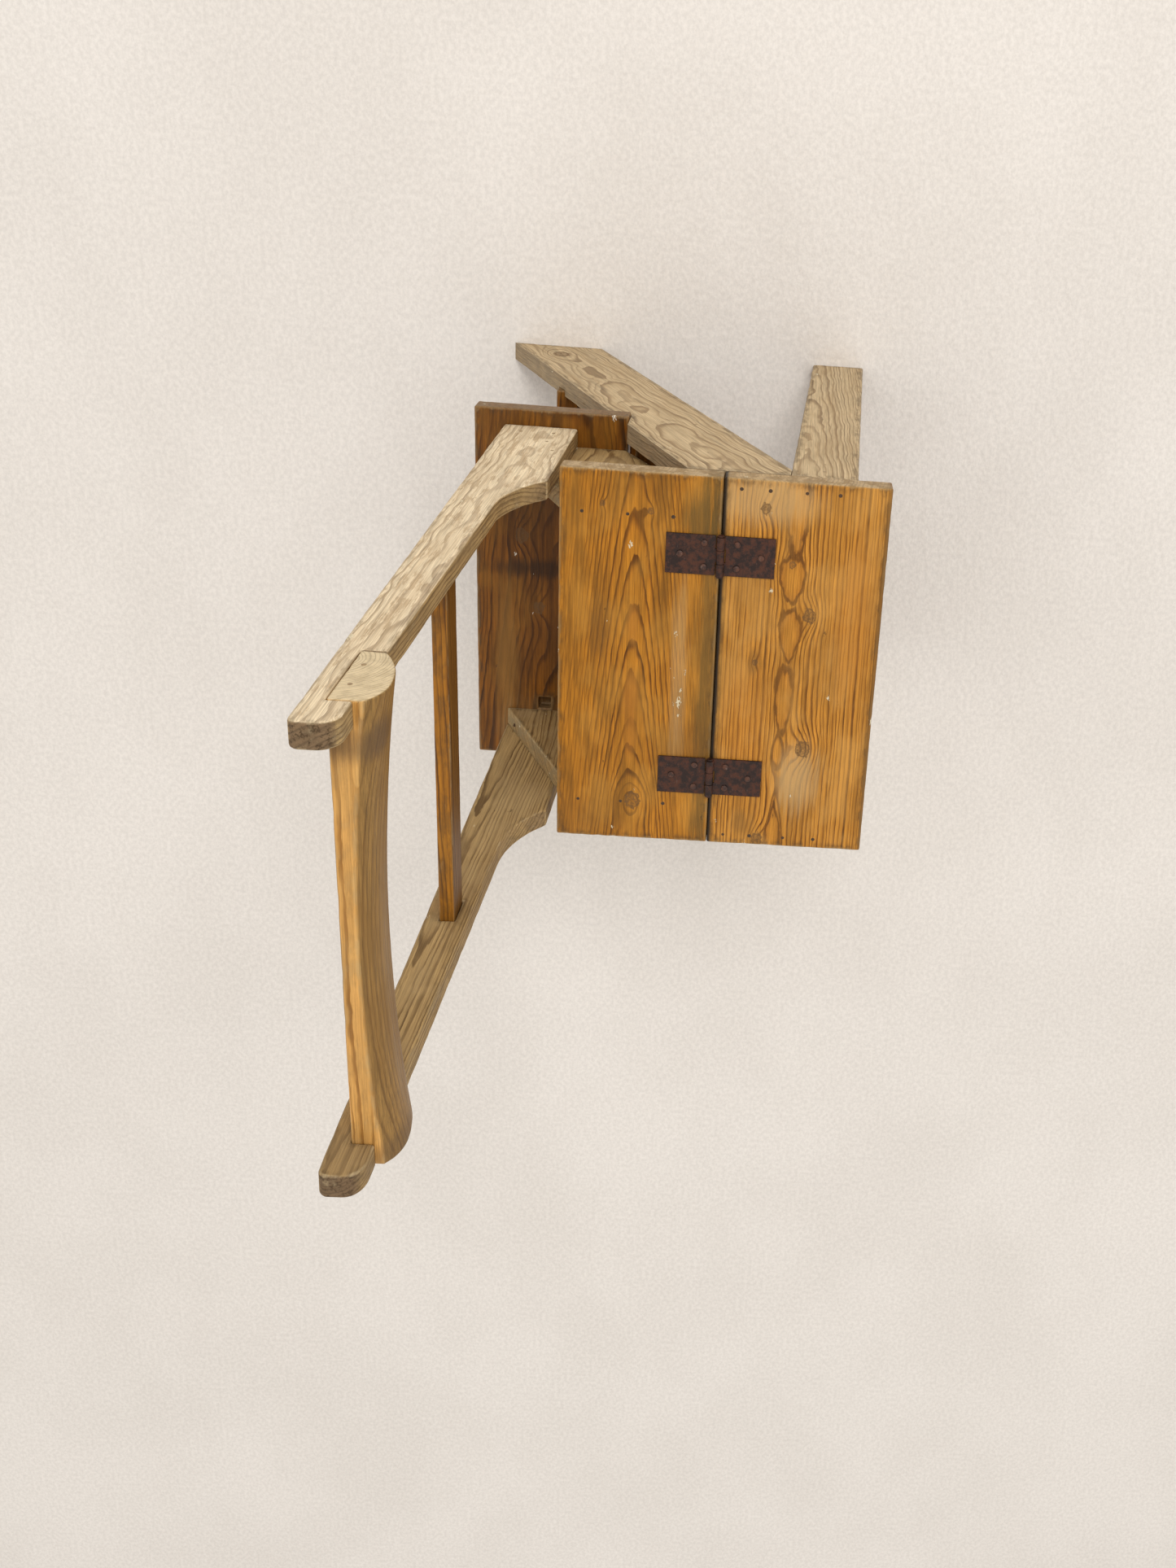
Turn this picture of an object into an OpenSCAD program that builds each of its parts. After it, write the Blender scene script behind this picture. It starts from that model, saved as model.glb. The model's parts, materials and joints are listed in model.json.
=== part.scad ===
// Metamorphic step chair in pine: a small side chair whose seat is hinged across the middle.
// The rear half of the seat, with the chair back and a low step under it, turns over the front
// half through half a turn, and the chair becomes a short flight of library steps.
// The chair faces -Y and stands on the floor at Z = 0. Units are millimetres.

/* [Seat] */
// Length of the seat boards, from side to side
seat_w = 380; // [300:5:480]
// Height of the seat's top face above the floor
seat_h = 458; // [400:1:560]
// Depth of the fixed front seat board
seat_front_d = 151.6; // [120:0.2:190]
// Depth of the hinged rear seat board
seat_rear_d = 146.6; // [110:0.2:190]
// Gap between the two boards at the hinged seam
seam_gap = 0.8; // [0.4:0.2:6]
// Thickness of the seat boards
seat_t = 20; // [15:0.5:28]

/* [Side frames] */
// Thickness of the raking stringers and of the front legs
stringer_t = 20; // [15:0.5:28]
// Width of a stringer, measured level along the floor
stringer_w = 103; // [80:1:130]
// Lean of the stringers from upright, in degrees
stringer_lean = 29.2; // [22:0.1:36]
// How far a stringer reaches behind the seam, under the rear seat board
stringer_reach = 35; // [20:1:50]
// Width of a front leg at its foot
leg_foot_w = 60; // [45:1:80]
// Width of a front leg at the seat
leg_top_w = 62; // [45:1:80]
// How far the front legs stand back from the seat's front edge
leg_setback = 31; // [10:1:45]
// How far a front foot stands forward of the leg's top
leg_splay = 16; // [0:1:30]
// Thickness of the two treads between the stringers
tread_t = 20; // [15:0.5:28]
// Depth of the housings that hold the treads' ends
housing_d = 6; // [3:0.5:8]
// How far the lower tread's nosing stands out behind the stringers
tread_nosing = 9; // [0:1:20]
// Distance from a stringer's front edge to the front of a tread
tread_setback = 8; // [2:1:20]
// Height of the rail that ties the front legs under the seat
apron_h = 55; // [35:1:80]
// Thickness of that rail
apron_t = 18; // [12:0.5:25]

/* [Turning section] */
// Thickness of the cheeks under the rear seat board
cheek_t = 20; // [15:0.5:28]
// Distance from the seat's ends to the cheeks' outer faces
cheek_inset = 31; // [24:1:45]
// Reach of a cheek's top, measured back from the seam
cheek_top_front = 10; // [4:1:30]
// Distance from the seat's top face down to the step's top face
step_drop = 159; // [130:1:175]
// Length of the step, from side to side
step_w = 388; // [320:1:490]
// Depth of the step
step_d = 153; // [125:1:185]
// Thickness of the step
step_t = 20; // [15:0.5:28]
// How far the step stands out behind the uprights
step_overhang = 30; // [10:1:50]
// Side of the square mortise left in the step by an older fitting
old_mortise = 13; // [8:1:20]

/* [Chair back] */
// Thickness of the uprights
upright_t = 19; // [14:0.5:26]
// Width of an upright at its foot, below the shoulder
upright_foot_w = 73; // [55:1:90]
// Width of an upright just above its cove
upright_bar_w = 39; // [30:1:50]
// Width of an upright at its tip
upright_tip_w = 30; // [22:1:40]
// How far the uprights' tips lean forward of their feet
upright_lean = 7; // [0:1:20]
// Gap between the uprights and the front seat board when the steps are open
swing_gap = 4; // [2:0.5:12]
// Height of the shoulder above the seat
shoulder_rise = 7; // [2:1:25]
// Height of the cove, from the shoulder to the straight bar
cove_h = 73; // [50:1:110]
// Radius of the tips' rear corners
tip_r = 7; // [2:0.5:12]
// Radius of the tips' front corners, worn rounder
tip_front_r = 14; // [4:0.5:16]
// Height of the crest rail
crest_h = 68; // [45:1:90]
// Distance from the uprights' tips down to the crest rail
crest_drop = 30; // [20:1:60]
// Thickness of the crest rail at its ends, over its rounded front
crest_end_t = 32; // [28:1:42]
// Depth of the crest rail's hollow, from its ends to its middle
crest_hollow = 11; // [4:0.5:14]
// How far the crest rail's rounded front stands forward of its top edge
crest_roll = 10; // [4:0.5:12]
// How far the crest rail's front is drawn back at its lower edge
crest_tuck = 15; // [6:0.5:16]
// Thickness of upright left behind the crest rail's notch
crest_web = 15; // [8:1:20]
// Height of the slim back rail
back_rail_h = 28; // [18:1:40]
// Thickness of the back rail
back_rail_t = 13; // [8:1:18]
// Height of the back rail's lower edge above the seat
back_rail_rise = 160; // [90:1:240]
// Depth of the mortises that hold the back rail
mortise_d = 10; // [5:1:14]

/* [Ironwork] */
// Distance from the middle of the seat to each hinge
hinge_x = 115; // [70:1:130]
// Length of a hinge leaf, from the pin outwards
leaf_l = 50; // [35:1:65]
// Width of a hinge leaf along the seam
leaf_w = 39; // [30:1:50]
// Thickness of a hinge leaf
leaf_t = 2; // [1.5:0.1:3]
// Outer radius of the hinge knuckles
knuckle_r = 4; // [3.5:0.1:5]
// Radius of the hinge pins
pin_r = 2; // [1.5:0.1:2.4]
// Radius of the nails' shanks
nail_r = 1.4; // [1:0.1:1.8]
// Radius of the clout nails' heads on the hinges
clout_r = 3; // [2.5:0.1:4]
// Length of the nails in the boards
nail_l = 42; // [34:1:60]

/* [Hidden] */

$fn = 48;
over = 60;            // overshoot of a cutting solid past the face it opens
pin_clear = 0.05;     // running clearance between a pin and its knuckles
nail_clear = 0.05;    // clearance between a nail and its pilot hole
rest_gap = 0.4;       // clearance where the turning section rests on the side frames
knuckle_gap = 0.4;    // clearance between neighbouring knuckles
leaf_relief = 0.6;    // clearance between a leaf and the mating leaf's knuckle
board_nail_head = 2;  // radius of the flush heads in the boards
head_t = 0.8;         // height of a nail's head
pin_head_r = 3;       // radius of a hinge pin's burred ends
pin_head_t = 1.2;     // height of those burred ends
mortise_depth = 11;   // depth of the old mortise in the step
crest_nose_drop = 24; // how far below its top edge the crest rail's front is fullest
arc_n = 10;           // segments in a rounded corner or cove

// Heights
axis_z = seat_h + knuckle_r;
seat_under_z = seat_h - seat_t;
step_top_z = seat_h - step_drop;
step_under_z = step_top_z - step_t;
tip_z = 2 * axis_z;
riser = seat_h / 3;
crest_top_z = tip_z - crest_drop;
crest_low_z = crest_top_z - crest_h;
back_rail_z = seat_h + back_rail_rise;
shoulder_z = seat_h + shoulder_rise;
cove_top_z = shoulder_z + cove_h;

// Distances behind the seam, along +Y
seat_front_y = -(seam_gap / 2 + seat_front_d);
seat_rear_y = seam_gap / 2 + seat_rear_d;
upright_front_y = max(seat_rear_y, -seat_front_y) + swing_gap;
upright_rear_y = upright_front_y + upright_foot_w;
step_rear_y = upright_rear_y + step_overhang;
step_front_y = step_rear_y - step_d;
stringer_foot_y = stringer_reach + tan(stringer_lean) * seat_under_z;
origin_y = (seat_front_y + stringer_foot_y) / 2;
crest_back_y = rear_edge_y(crest_low_z) - crest_web;
back_rail_back_y = rear_edge_y(back_rail_z) - (upright_bar_w - back_rail_t) / 2;

// Distances from the middle, along X
seat_end_x = seat_w / 2;
stringer_in_x = seat_end_x - stringer_t;
cheek_out_x = seat_end_x - cheek_inset;
cheek_in_x = cheek_out_x - cheek_t;
upright_out_x = cheek_out_x + upright_t;

// Rear edge of a stringer and rear edge of a front leg at height z
function stringer_rear(z) = stringer_reach + tan(stringer_lean) * (seat_under_z - z);
function stringer_front(z) = stringer_rear(z) - stringer_w;
leg_top_front_y = seat_front_y + leg_setback;
function leg_front(z) = leg_top_front_y - leg_splay * (seat_under_z - z) / seat_under_z;
function leg_rear(z) = leg_front(z) + leg_foot_w + (leg_top_w - leg_foot_w) * z / seat_under_z;

// Rear edge of an upright at height z
function rear_edge_y(z) = upright_rear_y - upright_lean * (z - step_top_z) / (tip_z - step_top_z);

// Points of an arc about c, of radius r, from angle a to angle b
function arc(c, r, a, b, n = arc_n) = [for (i = [0:n]) c + r * [cos(a + (b - a) * i / n), sin(a + (b - a) * i / n)]];

// Places an outline drawn in Y and Z as a board that starts at x and is t thick
module side_board(x, t) {
    translate([x, 0, 0]) rotate([90, 0, 90]) linear_extrude(t) children();
}

// Shows a left-hand piece on the left (+X), and its mirror image on the right
module on_side(side) {
    mirror([side < 0 ? 1 : 0, 0, 0]) children();
}

// Moves the whole chair so that its origin lies under the middle of its box
module placed() {
    translate([0, -origin_y, 0]) children();
}

// ---- nails ---------------------------------------------------------------------------------

// One nail driven along direction d (as Euler angles), its head's face at p
module nail(p, turn, length, head_r, grow = 0) {
    translate(p) rotate(turn) {
        translate([0, 0, -head_t - grow]) cylinder(r = head_r + grow, h = head_t + grow + (grow > 0 ? over : 0));
        translate([0, 0, -length - grow]) cylinder(r = nail_r + grow, h = length);
    }
}

DOWN = [0, 0, 0];
INWARD = [0, 90, 0];
UPWARD = [180, 0, 0];

// Positions of the nails in the left half of the chair
side_mid_x = seat_end_x - stringer_t / 2;
cheek_mid_x = cheek_out_x - cheek_t / 2;
function seat_front_spots() = [
    for (y = [leg_top_front_y + 16, leg_top_front_y + leg_top_w - 16, -42, -16]) [side_mid_x, y, seat_h]];
function seat_rear_spots() = [
    for (f = [0.3, 0.58, 0.86]) [cheek_mid_x, seat_rear_y * f, seat_h]];
function step_spots() = [
    for (f = [0.22, 0.5, 0.72]) [cheek_mid_x, step_front_y + step_d * f, step_under_z]];
function upright_spots() = [
    for (p = [[0.28, 22], [0.72, 22], [0.16, 78], [0.3, 50]])
        [upright_out_x, upright_front_y + upright_foot_w * p[0], step_top_z + p[1]]];
function crest_spots() = [
    for (f = [0.3, 0.7]) [upright_out_x, crest_back_y - 8, crest_low_z + crest_h * f]];
function tread_spots() = [
    for (k = [1, 2], f = [0.3, 0.7])
        [seat_end_x, tread_front(k) + (min(tread_rear(k), stringer_rear(k * riser)) - tread_front(k)) * f,
            k * riser - tread_t / 2]];
function apron_spots() = [
    for (f = [0.3, 0.7]) [seat_end_x, apron_y + apron_t / 2, seat_under_z - apron_h * f]];

// Every nail of one list on both sides of the chair
module nail_set(spots, turn, length, head_r, grow = 0) {
    for (side = [1, -1], p = spots) on_side(side) nail(p, turn, length, head_r, grow);
}
module seat_front_nail_set(grow = 0) {
    nail_set(seat_front_spots(), DOWN, nail_l, board_nail_head, grow);
}
module seat_rear_nail_set(grow = 0) {
    nail_set(seat_rear_spots(), DOWN, nail_l, board_nail_head, grow);
}
module step_nail_set(grow = 0) {
    nail_set(step_spots(), UPWARD, nail_l, board_nail_head, grow);
}
module upright_nail_set(grow = 0) {
    nail_set(upright_spots(), INWARD, upright_t + cheek_t - 4, board_nail_head, grow);
}
module crest_nail_set(grow = 0) {
    nail_set(crest_spots(), INWARD, nail_l, board_nail_head, grow);
}
module tread_nail_set(grow = 0) {
    nail_set(tread_spots(), INWARD, nail_l, board_nail_head, grow);
}
module apron_nail_set(grow = 0) {
    nail_set(apron_spots(), INWARD, nail_l, board_nail_head, grow);
}

// Places of a leaf's three clout nails, for a leaf that runs along +Y
clout_l = seat_t - 4;
function clout_spots() = [[-leaf_w * 0.3, leaf_l * 0.3], [leaf_w * 0.3, leaf_l * 0.3], [0, leaf_l * 0.74]];
module clout_set(way, grow = 0) {
    for (side = [1, -1], p = clout_spots())
        nail([side * hinge_x + p[0], way * p[1], seat_h + leaf_t + head_t], DOWN, clout_l + leaf_t, clout_r, grow);
}
module clout_holes(way) {
    for (side = [1, -1], p = clout_spots())
        translate([side * hinge_x + p[0], way * p[1], seat_h - clout_l])
            cylinder(r = nail_r + nail_clear, h = clout_l + over);
}

// ---- seat ----------------------------------------------------------------------------------

module seat_front_board() {
    color("peru") difference() {
        translate([-seat_end_x, seat_front_y, seat_under_z]) cube([seat_w, seat_front_d, seat_t]);
        clout_holes(-1);
        seat_front_nail_set(nail_clear);
    }
}

module seat_rear_board() {
    color("peru") difference() {
        translate([-seat_end_x, seam_gap / 2, seat_under_z]) cube([seat_w, seat_rear_d, seat_t]);
        clout_holes(1);
        seat_rear_nail_set(nail_clear);
    }
}

// ---- turning section -----------------------------------------------------------------------

module turning_step() {
    color("sienna") difference() {
        translate([-step_w / 2, step_front_y, step_under_z]) cube([step_w, step_d, step_t]);
        step_nail_set(nail_clear);
        translate([-cheek_in_x + 1, upright_front_y + 2 * old_mortise, step_top_z - mortise_depth])
            cube([old_mortise, old_mortise, mortise_depth + over]);
    }
}

// Cheek: its front edge rakes like the stringers, and its rear edge runs out under the upright
module cheek(side) {
    color("burlywood") difference() {
        on_side(side) side_board(cheek_in_x, cheek_t) polygon([
            [cheek_top_front, seat_under_z],
            [step_front_y + 2, step_top_z],
            [upright_rear_y - 1, step_top_z],
            [seat_rear_y - 1, seat_under_z]
        ]);
        seat_rear_nail_set(nail_clear);
        step_nail_set(nail_clear);
        upright_nail_set(nail_clear);
    }
}

// Upright's outline: a wide foot, a cove above the shoulder, and a straight bar with a rounded tip
module upright_outline() {
    bar_front_y = rear_edge_y(cove_top_z) - upright_bar_w;
    tip_rear_y = rear_edge_y(tip_z);
    tip_front_y = tip_rear_y - upright_tip_w;
    run = bar_front_y - upright_front_y;
    cove_r = (run * run + cove_h * cove_h) / (2 * run);
    polygon(concat(
        [[upright_rear_y, step_top_z]],
        arc([tip_rear_y - tip_r, tip_z - tip_r], tip_r, 0, 90),
        arc([tip_front_y + tip_front_r, tip_z - tip_front_r], tip_front_r, 90, 180),
        arc([bar_front_y - cove_r, cove_top_z], cove_r, 0, -asin(cove_h / cove_r), 2 * arc_n),
        [[upright_front_y, shoulder_z - shoulder_rise], [upright_front_y, step_top_z]]
    ));
}

module upright(side) {
    color("tan") difference() {
        on_side(side) side_board(cheek_out_x, upright_t) upright_outline();
        on_side(side) translate([cheek_out_x - over, crest_back_y - over, crest_low_z])
            cube([upright_t + 2 * over, over, crest_h]);
        back_rail_solid();
        upright_nail_set(nail_clear);
        crest_nail_set(nail_clear);
    }
}

// Profile that the crest rail's hollow front turns about an upright axis: r is the hollow's radius at the
// rounded front, and the profile falls away from it to the top edge and to the drawn-back lower edge
module crest_front_profile(r) {
    upper_r = (crest_roll * crest_roll + crest_nose_drop * crest_nose_drop) / (2 * crest_roll);
    lower_h = crest_h - crest_nose_drop;
    lower_r = (crest_tuck * crest_tuck + lower_h * lower_h) / (2 * crest_tuck);
    nose_z = crest_top_z - crest_nose_drop;
    polygon(concat(
        arc([r + upper_r, nose_z], upper_r, 180 - asin(crest_nose_drop / upper_r), 180),
        arc([r + lower_r, nose_z], lower_r, 180, 180 + asin(lower_h / lower_r)),
        [[r + 2 * crest_end_t, crest_low_z], [r + 2 * crest_end_t, crest_top_z]]
    ));
}

// Crest rail: a flat back, and a long hollow in front for the sitter's shoulders
module crest_rail() {
    hollow_r = (upright_out_x * upright_out_x + crest_hollow * crest_hollow) / (2 * crest_hollow);
    hollow_turn = asin(upright_out_x / hollow_r) + 1;
    nose_mid_y = crest_back_y - crest_end_t + crest_hollow;
    color("goldenrod") difference() {
        intersection() {
            translate([-upright_out_x, crest_back_y - crest_end_t - 1, crest_low_z])
                cube([2 * upright_out_x, crest_end_t + 1, crest_h]);
            translate([0, nose_mid_y - hollow_r, 0]) rotate([0, 0, 90 - hollow_turn])
                rotate_extrude(angle = 2 * hollow_turn, $fn = 720) crest_front_profile(hollow_r);
        }
        crest_nail_set(nail_clear);
    }
}

module back_rail_solid() {
    translate([-cheek_out_x - mortise_d, back_rail_back_y - back_rail_t, back_rail_z])
        cube([2 * (cheek_out_x + mortise_d), back_rail_t, back_rail_h]);
}

module back_rail() {
    color("peru") back_rail_solid();
}

// ---- side frames ---------------------------------------------------------------------------

// A tread is housed in both stringers; k counts the treads up from the floor
function tread_front(k) = stringer_front(k * riser) + tread_setback;
function tread_rear(k) = min(stringer_rear(k * riser) + tread_nosing, k == 2 ? step_front_y - tread_setback : 9999);

module tread(k) {
    translate([-stringer_in_x - housing_d, tread_front(k), k * riser - tread_t])
        cube([2 * (stringer_in_x + housing_d), tread_rear(k) - tread_front(k), tread_t]);
}

module lower_tread() {
    color("sienna") difference() {
        tread(1);
        tread_nail_set(nail_clear);
    }
}

module middle_tread() {
    color("sienna") difference() {
        tread(2);
        tread_nail_set(nail_clear);
    }
}

module leg_outline() {
    polygon([[leg_front(0), 0], [leg_rear(0), 0], [leg_rear(seat_under_z), seat_under_z],
        [leg_front(seat_under_z), seat_under_z]]);
}

// Stringer: its front edge dies into the leg, and a notch in its rear edge carries the step
module stringer_outline() {
    difference() {
        polygon([[stringer_rear(0), 0], [stringer_rear(seat_under_z), seat_under_z],
            [stringer_front(seat_under_z), seat_under_z], [stringer_front(0), 0]]);
        polygon([[leg_rear(0) - over, 0], [leg_rear(0), 0], [leg_rear(seat_h), seat_h], [leg_rear(0) - over, seat_h]]);
        translate([step_front_y - rest_gap, step_under_z - rest_gap]) square([seat_h, step_drop + step_t]);
        translate([-seam_gap / 2, seat_under_z - rest_gap]) square([seat_h, over]);
    }
}

module stringer(side) {
    color("rosybrown") difference() {
        on_side(side) side_board(stringer_in_x, stringer_t) stringer_outline();
        tread(1);
        tread(2);
        tread_nail_set(nail_clear);
        seat_front_nail_set(nail_clear);
    }
}

module front_leg(side) {
    color("rosybrown") difference() {
        on_side(side) side_board(stringer_in_x, stringer_t) leg_outline();
        seat_front_nail_set(nail_clear);
        apron_nail_set(nail_clear);
    }
}

// The apron stands in the middle of the legs' width, close under the seat
apron_y = leg_top_front_y + (leg_top_w - apron_t) / 2;
module front_apron() {
    color("peru") difference() {
        translate([-stringer_in_x, apron_y, seat_under_z - apron_h]) cube([2 * stringer_in_x, apron_t, apron_h]);
        apron_nail_set(nail_clear);
    }
}

// ---- ironwork ------------------------------------------------------------------------------

// Knuckles along the pin: two on the front leaf, with one of the rear leaf between them
knuckle_l = leaf_w / 3;
function knuckle_starts(way) = way < 0 ? [0, 2] : [1];

module leaf(side, way) {
    color("saddlebrown") translate([side * hinge_x, 0, seat_h]) difference() {
        union() {
            translate([-leaf_w / 2, way < 0 ? -leaf_l : 0, 0]) cube([leaf_w, leaf_l, leaf_t]);
            for (i = knuckle_starts(way))
                translate([-leaf_w / 2 + i * knuckle_l + knuckle_gap / 2, 0, knuckle_r]) rotate([0, 90, 0])
                    cylinder(r = knuckle_r, h = knuckle_l - knuckle_gap);
        }
        for (i = knuckle_starts(-way))
            translate([-leaf_w / 2 + i * knuckle_l - knuckle_gap / 2, -knuckle_r - leaf_relief, -1])
                cube([knuckle_l + knuckle_gap, 2 * (knuckle_r + leaf_relief), leaf_t + 1 + knuckle_r * 2]);
        for (i = [1, 2])
            translate([-leaf_w / 2 + i * knuckle_l - knuckle_gap / 2, -knuckle_r - leaf_relief, -1])
                cube([knuckle_gap, 2 * (knuckle_r + leaf_relief), leaf_t + 1 + knuckle_r * 2]);
        translate([-leaf_w, 0, knuckle_r]) rotate([0, 90, 0]) cylinder(r = pin_r + pin_clear, h = 2 * leaf_w);
        for (p = clout_spots())
            translate([p[0], way * p[1], -1]) cylinder(r = nail_r + nail_clear, h = leaf_t + 2);
    }
}

module pin(side) {
    color("dimgray") translate([side * hinge_x, 0, axis_z]) rotate([0, 90, 0]) {
        cylinder(r = pin_r, h = leaf_w, center = true);
        for (end = [1, -1]) translate([0, 0, end * (leaf_w + pin_head_t) / 2])
            cylinder(r = pin_head_r, h = pin_head_t, center = true);
    }
}

// ---- nodes ---------------------------------------------------------------------------------

placed() seat_front_board();
placed() seat_rear_board();
placed() turning_step();
placed() cheek(1);  // cheek_left
placed() cheek(-1);  // cheek_right
placed() upright(1);  // upright_left
placed() upright(-1);  // upright_right
placed() crest_rail();
placed() back_rail();
placed() stringer(1);  // stringer_left
placed() stringer(-1);  // stringer_right
placed() front_leg(1);  // front_leg_left
placed() front_leg(-1);  // front_leg_right
placed() lower_tread();
placed() middle_tread();
placed() front_apron();
placed() leaf(1, -1);  // hinge_left_front_leaf
placed() leaf(1, 1);  // hinge_left_rear_leaf
placed() pin(1);  // hinge_left_pin
placed() leaf(-1, -1);  // hinge_right_front_leaf
placed() leaf(-1, 1);  // hinge_right_rear_leaf
placed() pin(-1);  // hinge_right_pin
placed() color("dimgray") clout_set(-1);  // hinge_front_nails
placed() color("dimgray") clout_set(1);  // hinge_rear_nails
placed() color("dimgray") seat_front_nail_set();  // seat_front_nails
placed() color("dimgray") seat_rear_nail_set();  // seat_rear_nails
placed() color("dimgray") tread_nail_set();  // tread_nails
placed() color("dimgray") apron_nail_set();  // apron_nails
placed() color("dimgray") step_nail_set();  // step_nails
placed() color("dimgray") upright_nail_set();  // upright_nails
placed() color("dimgray") crest_nail_set();  // crest_nails
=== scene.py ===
"""Looks of an old pine step chair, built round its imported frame.

The chair's rear half turns over the front half on two strap hinges. Every board is milled from a copy of its
CAD solid: the nail holes are plugged, the arrises are worn round and the faces are left a little uneven. Each
board then gets its own sawn figure, so that rings, knots and stains fall where a real board would have them.
"""
import json
import logging
import math
from dataclasses import dataclass, field, replace
from enum import Enum
from functools import cache

import bmesh
import bpy
from mathutils import Matrix, Vector, kdtree, noise

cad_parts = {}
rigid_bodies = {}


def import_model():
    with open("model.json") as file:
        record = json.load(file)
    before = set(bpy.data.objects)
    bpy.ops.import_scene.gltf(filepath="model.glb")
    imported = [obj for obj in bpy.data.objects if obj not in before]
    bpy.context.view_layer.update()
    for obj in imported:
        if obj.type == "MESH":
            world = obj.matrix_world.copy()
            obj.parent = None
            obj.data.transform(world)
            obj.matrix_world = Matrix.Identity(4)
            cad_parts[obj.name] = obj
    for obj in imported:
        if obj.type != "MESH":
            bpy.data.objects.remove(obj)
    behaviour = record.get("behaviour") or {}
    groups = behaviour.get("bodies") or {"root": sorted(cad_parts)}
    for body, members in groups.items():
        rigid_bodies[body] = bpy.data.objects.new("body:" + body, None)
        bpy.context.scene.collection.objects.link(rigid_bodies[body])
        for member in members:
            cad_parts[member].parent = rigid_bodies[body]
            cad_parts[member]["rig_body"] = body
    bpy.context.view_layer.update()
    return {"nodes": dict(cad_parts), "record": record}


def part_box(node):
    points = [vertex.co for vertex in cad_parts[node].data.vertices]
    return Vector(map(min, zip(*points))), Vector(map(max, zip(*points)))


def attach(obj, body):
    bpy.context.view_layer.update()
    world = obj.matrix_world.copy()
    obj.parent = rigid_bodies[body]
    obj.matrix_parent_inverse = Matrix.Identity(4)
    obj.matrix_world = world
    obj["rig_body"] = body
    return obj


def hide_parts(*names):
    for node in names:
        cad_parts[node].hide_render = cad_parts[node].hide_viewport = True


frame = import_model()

LOG = logging.getLogger("step_chair")
MM = 0.001
Colour = tuple[float, float, float]
Triple = tuple[float, float, float]


class Lie(Enum):
    """How a board lies in the chair, as its directions (along, across, out of the face)."""

    SEAT = ((1, 0, 0), (0, 1, 0), (0, 0, 1))
    LEFT_SIDE = ((0, 0, 1), (0, 1, 0), (1, 0, 0))
    RIGHT_SIDE = ((0, 0, 1), (0, 1, 0), (-1, 0, 0))
    RAIL = ((1, 0, 0), (0, 0, 1), (0, -1, 0))


class BodyName(Enum):
    """The two bodies that the seat hinges join."""

    STANDING = "standing_frame"
    TURNING = "turning_section"


# ---- shader graph --------------------------------------------------------------------------------


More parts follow.
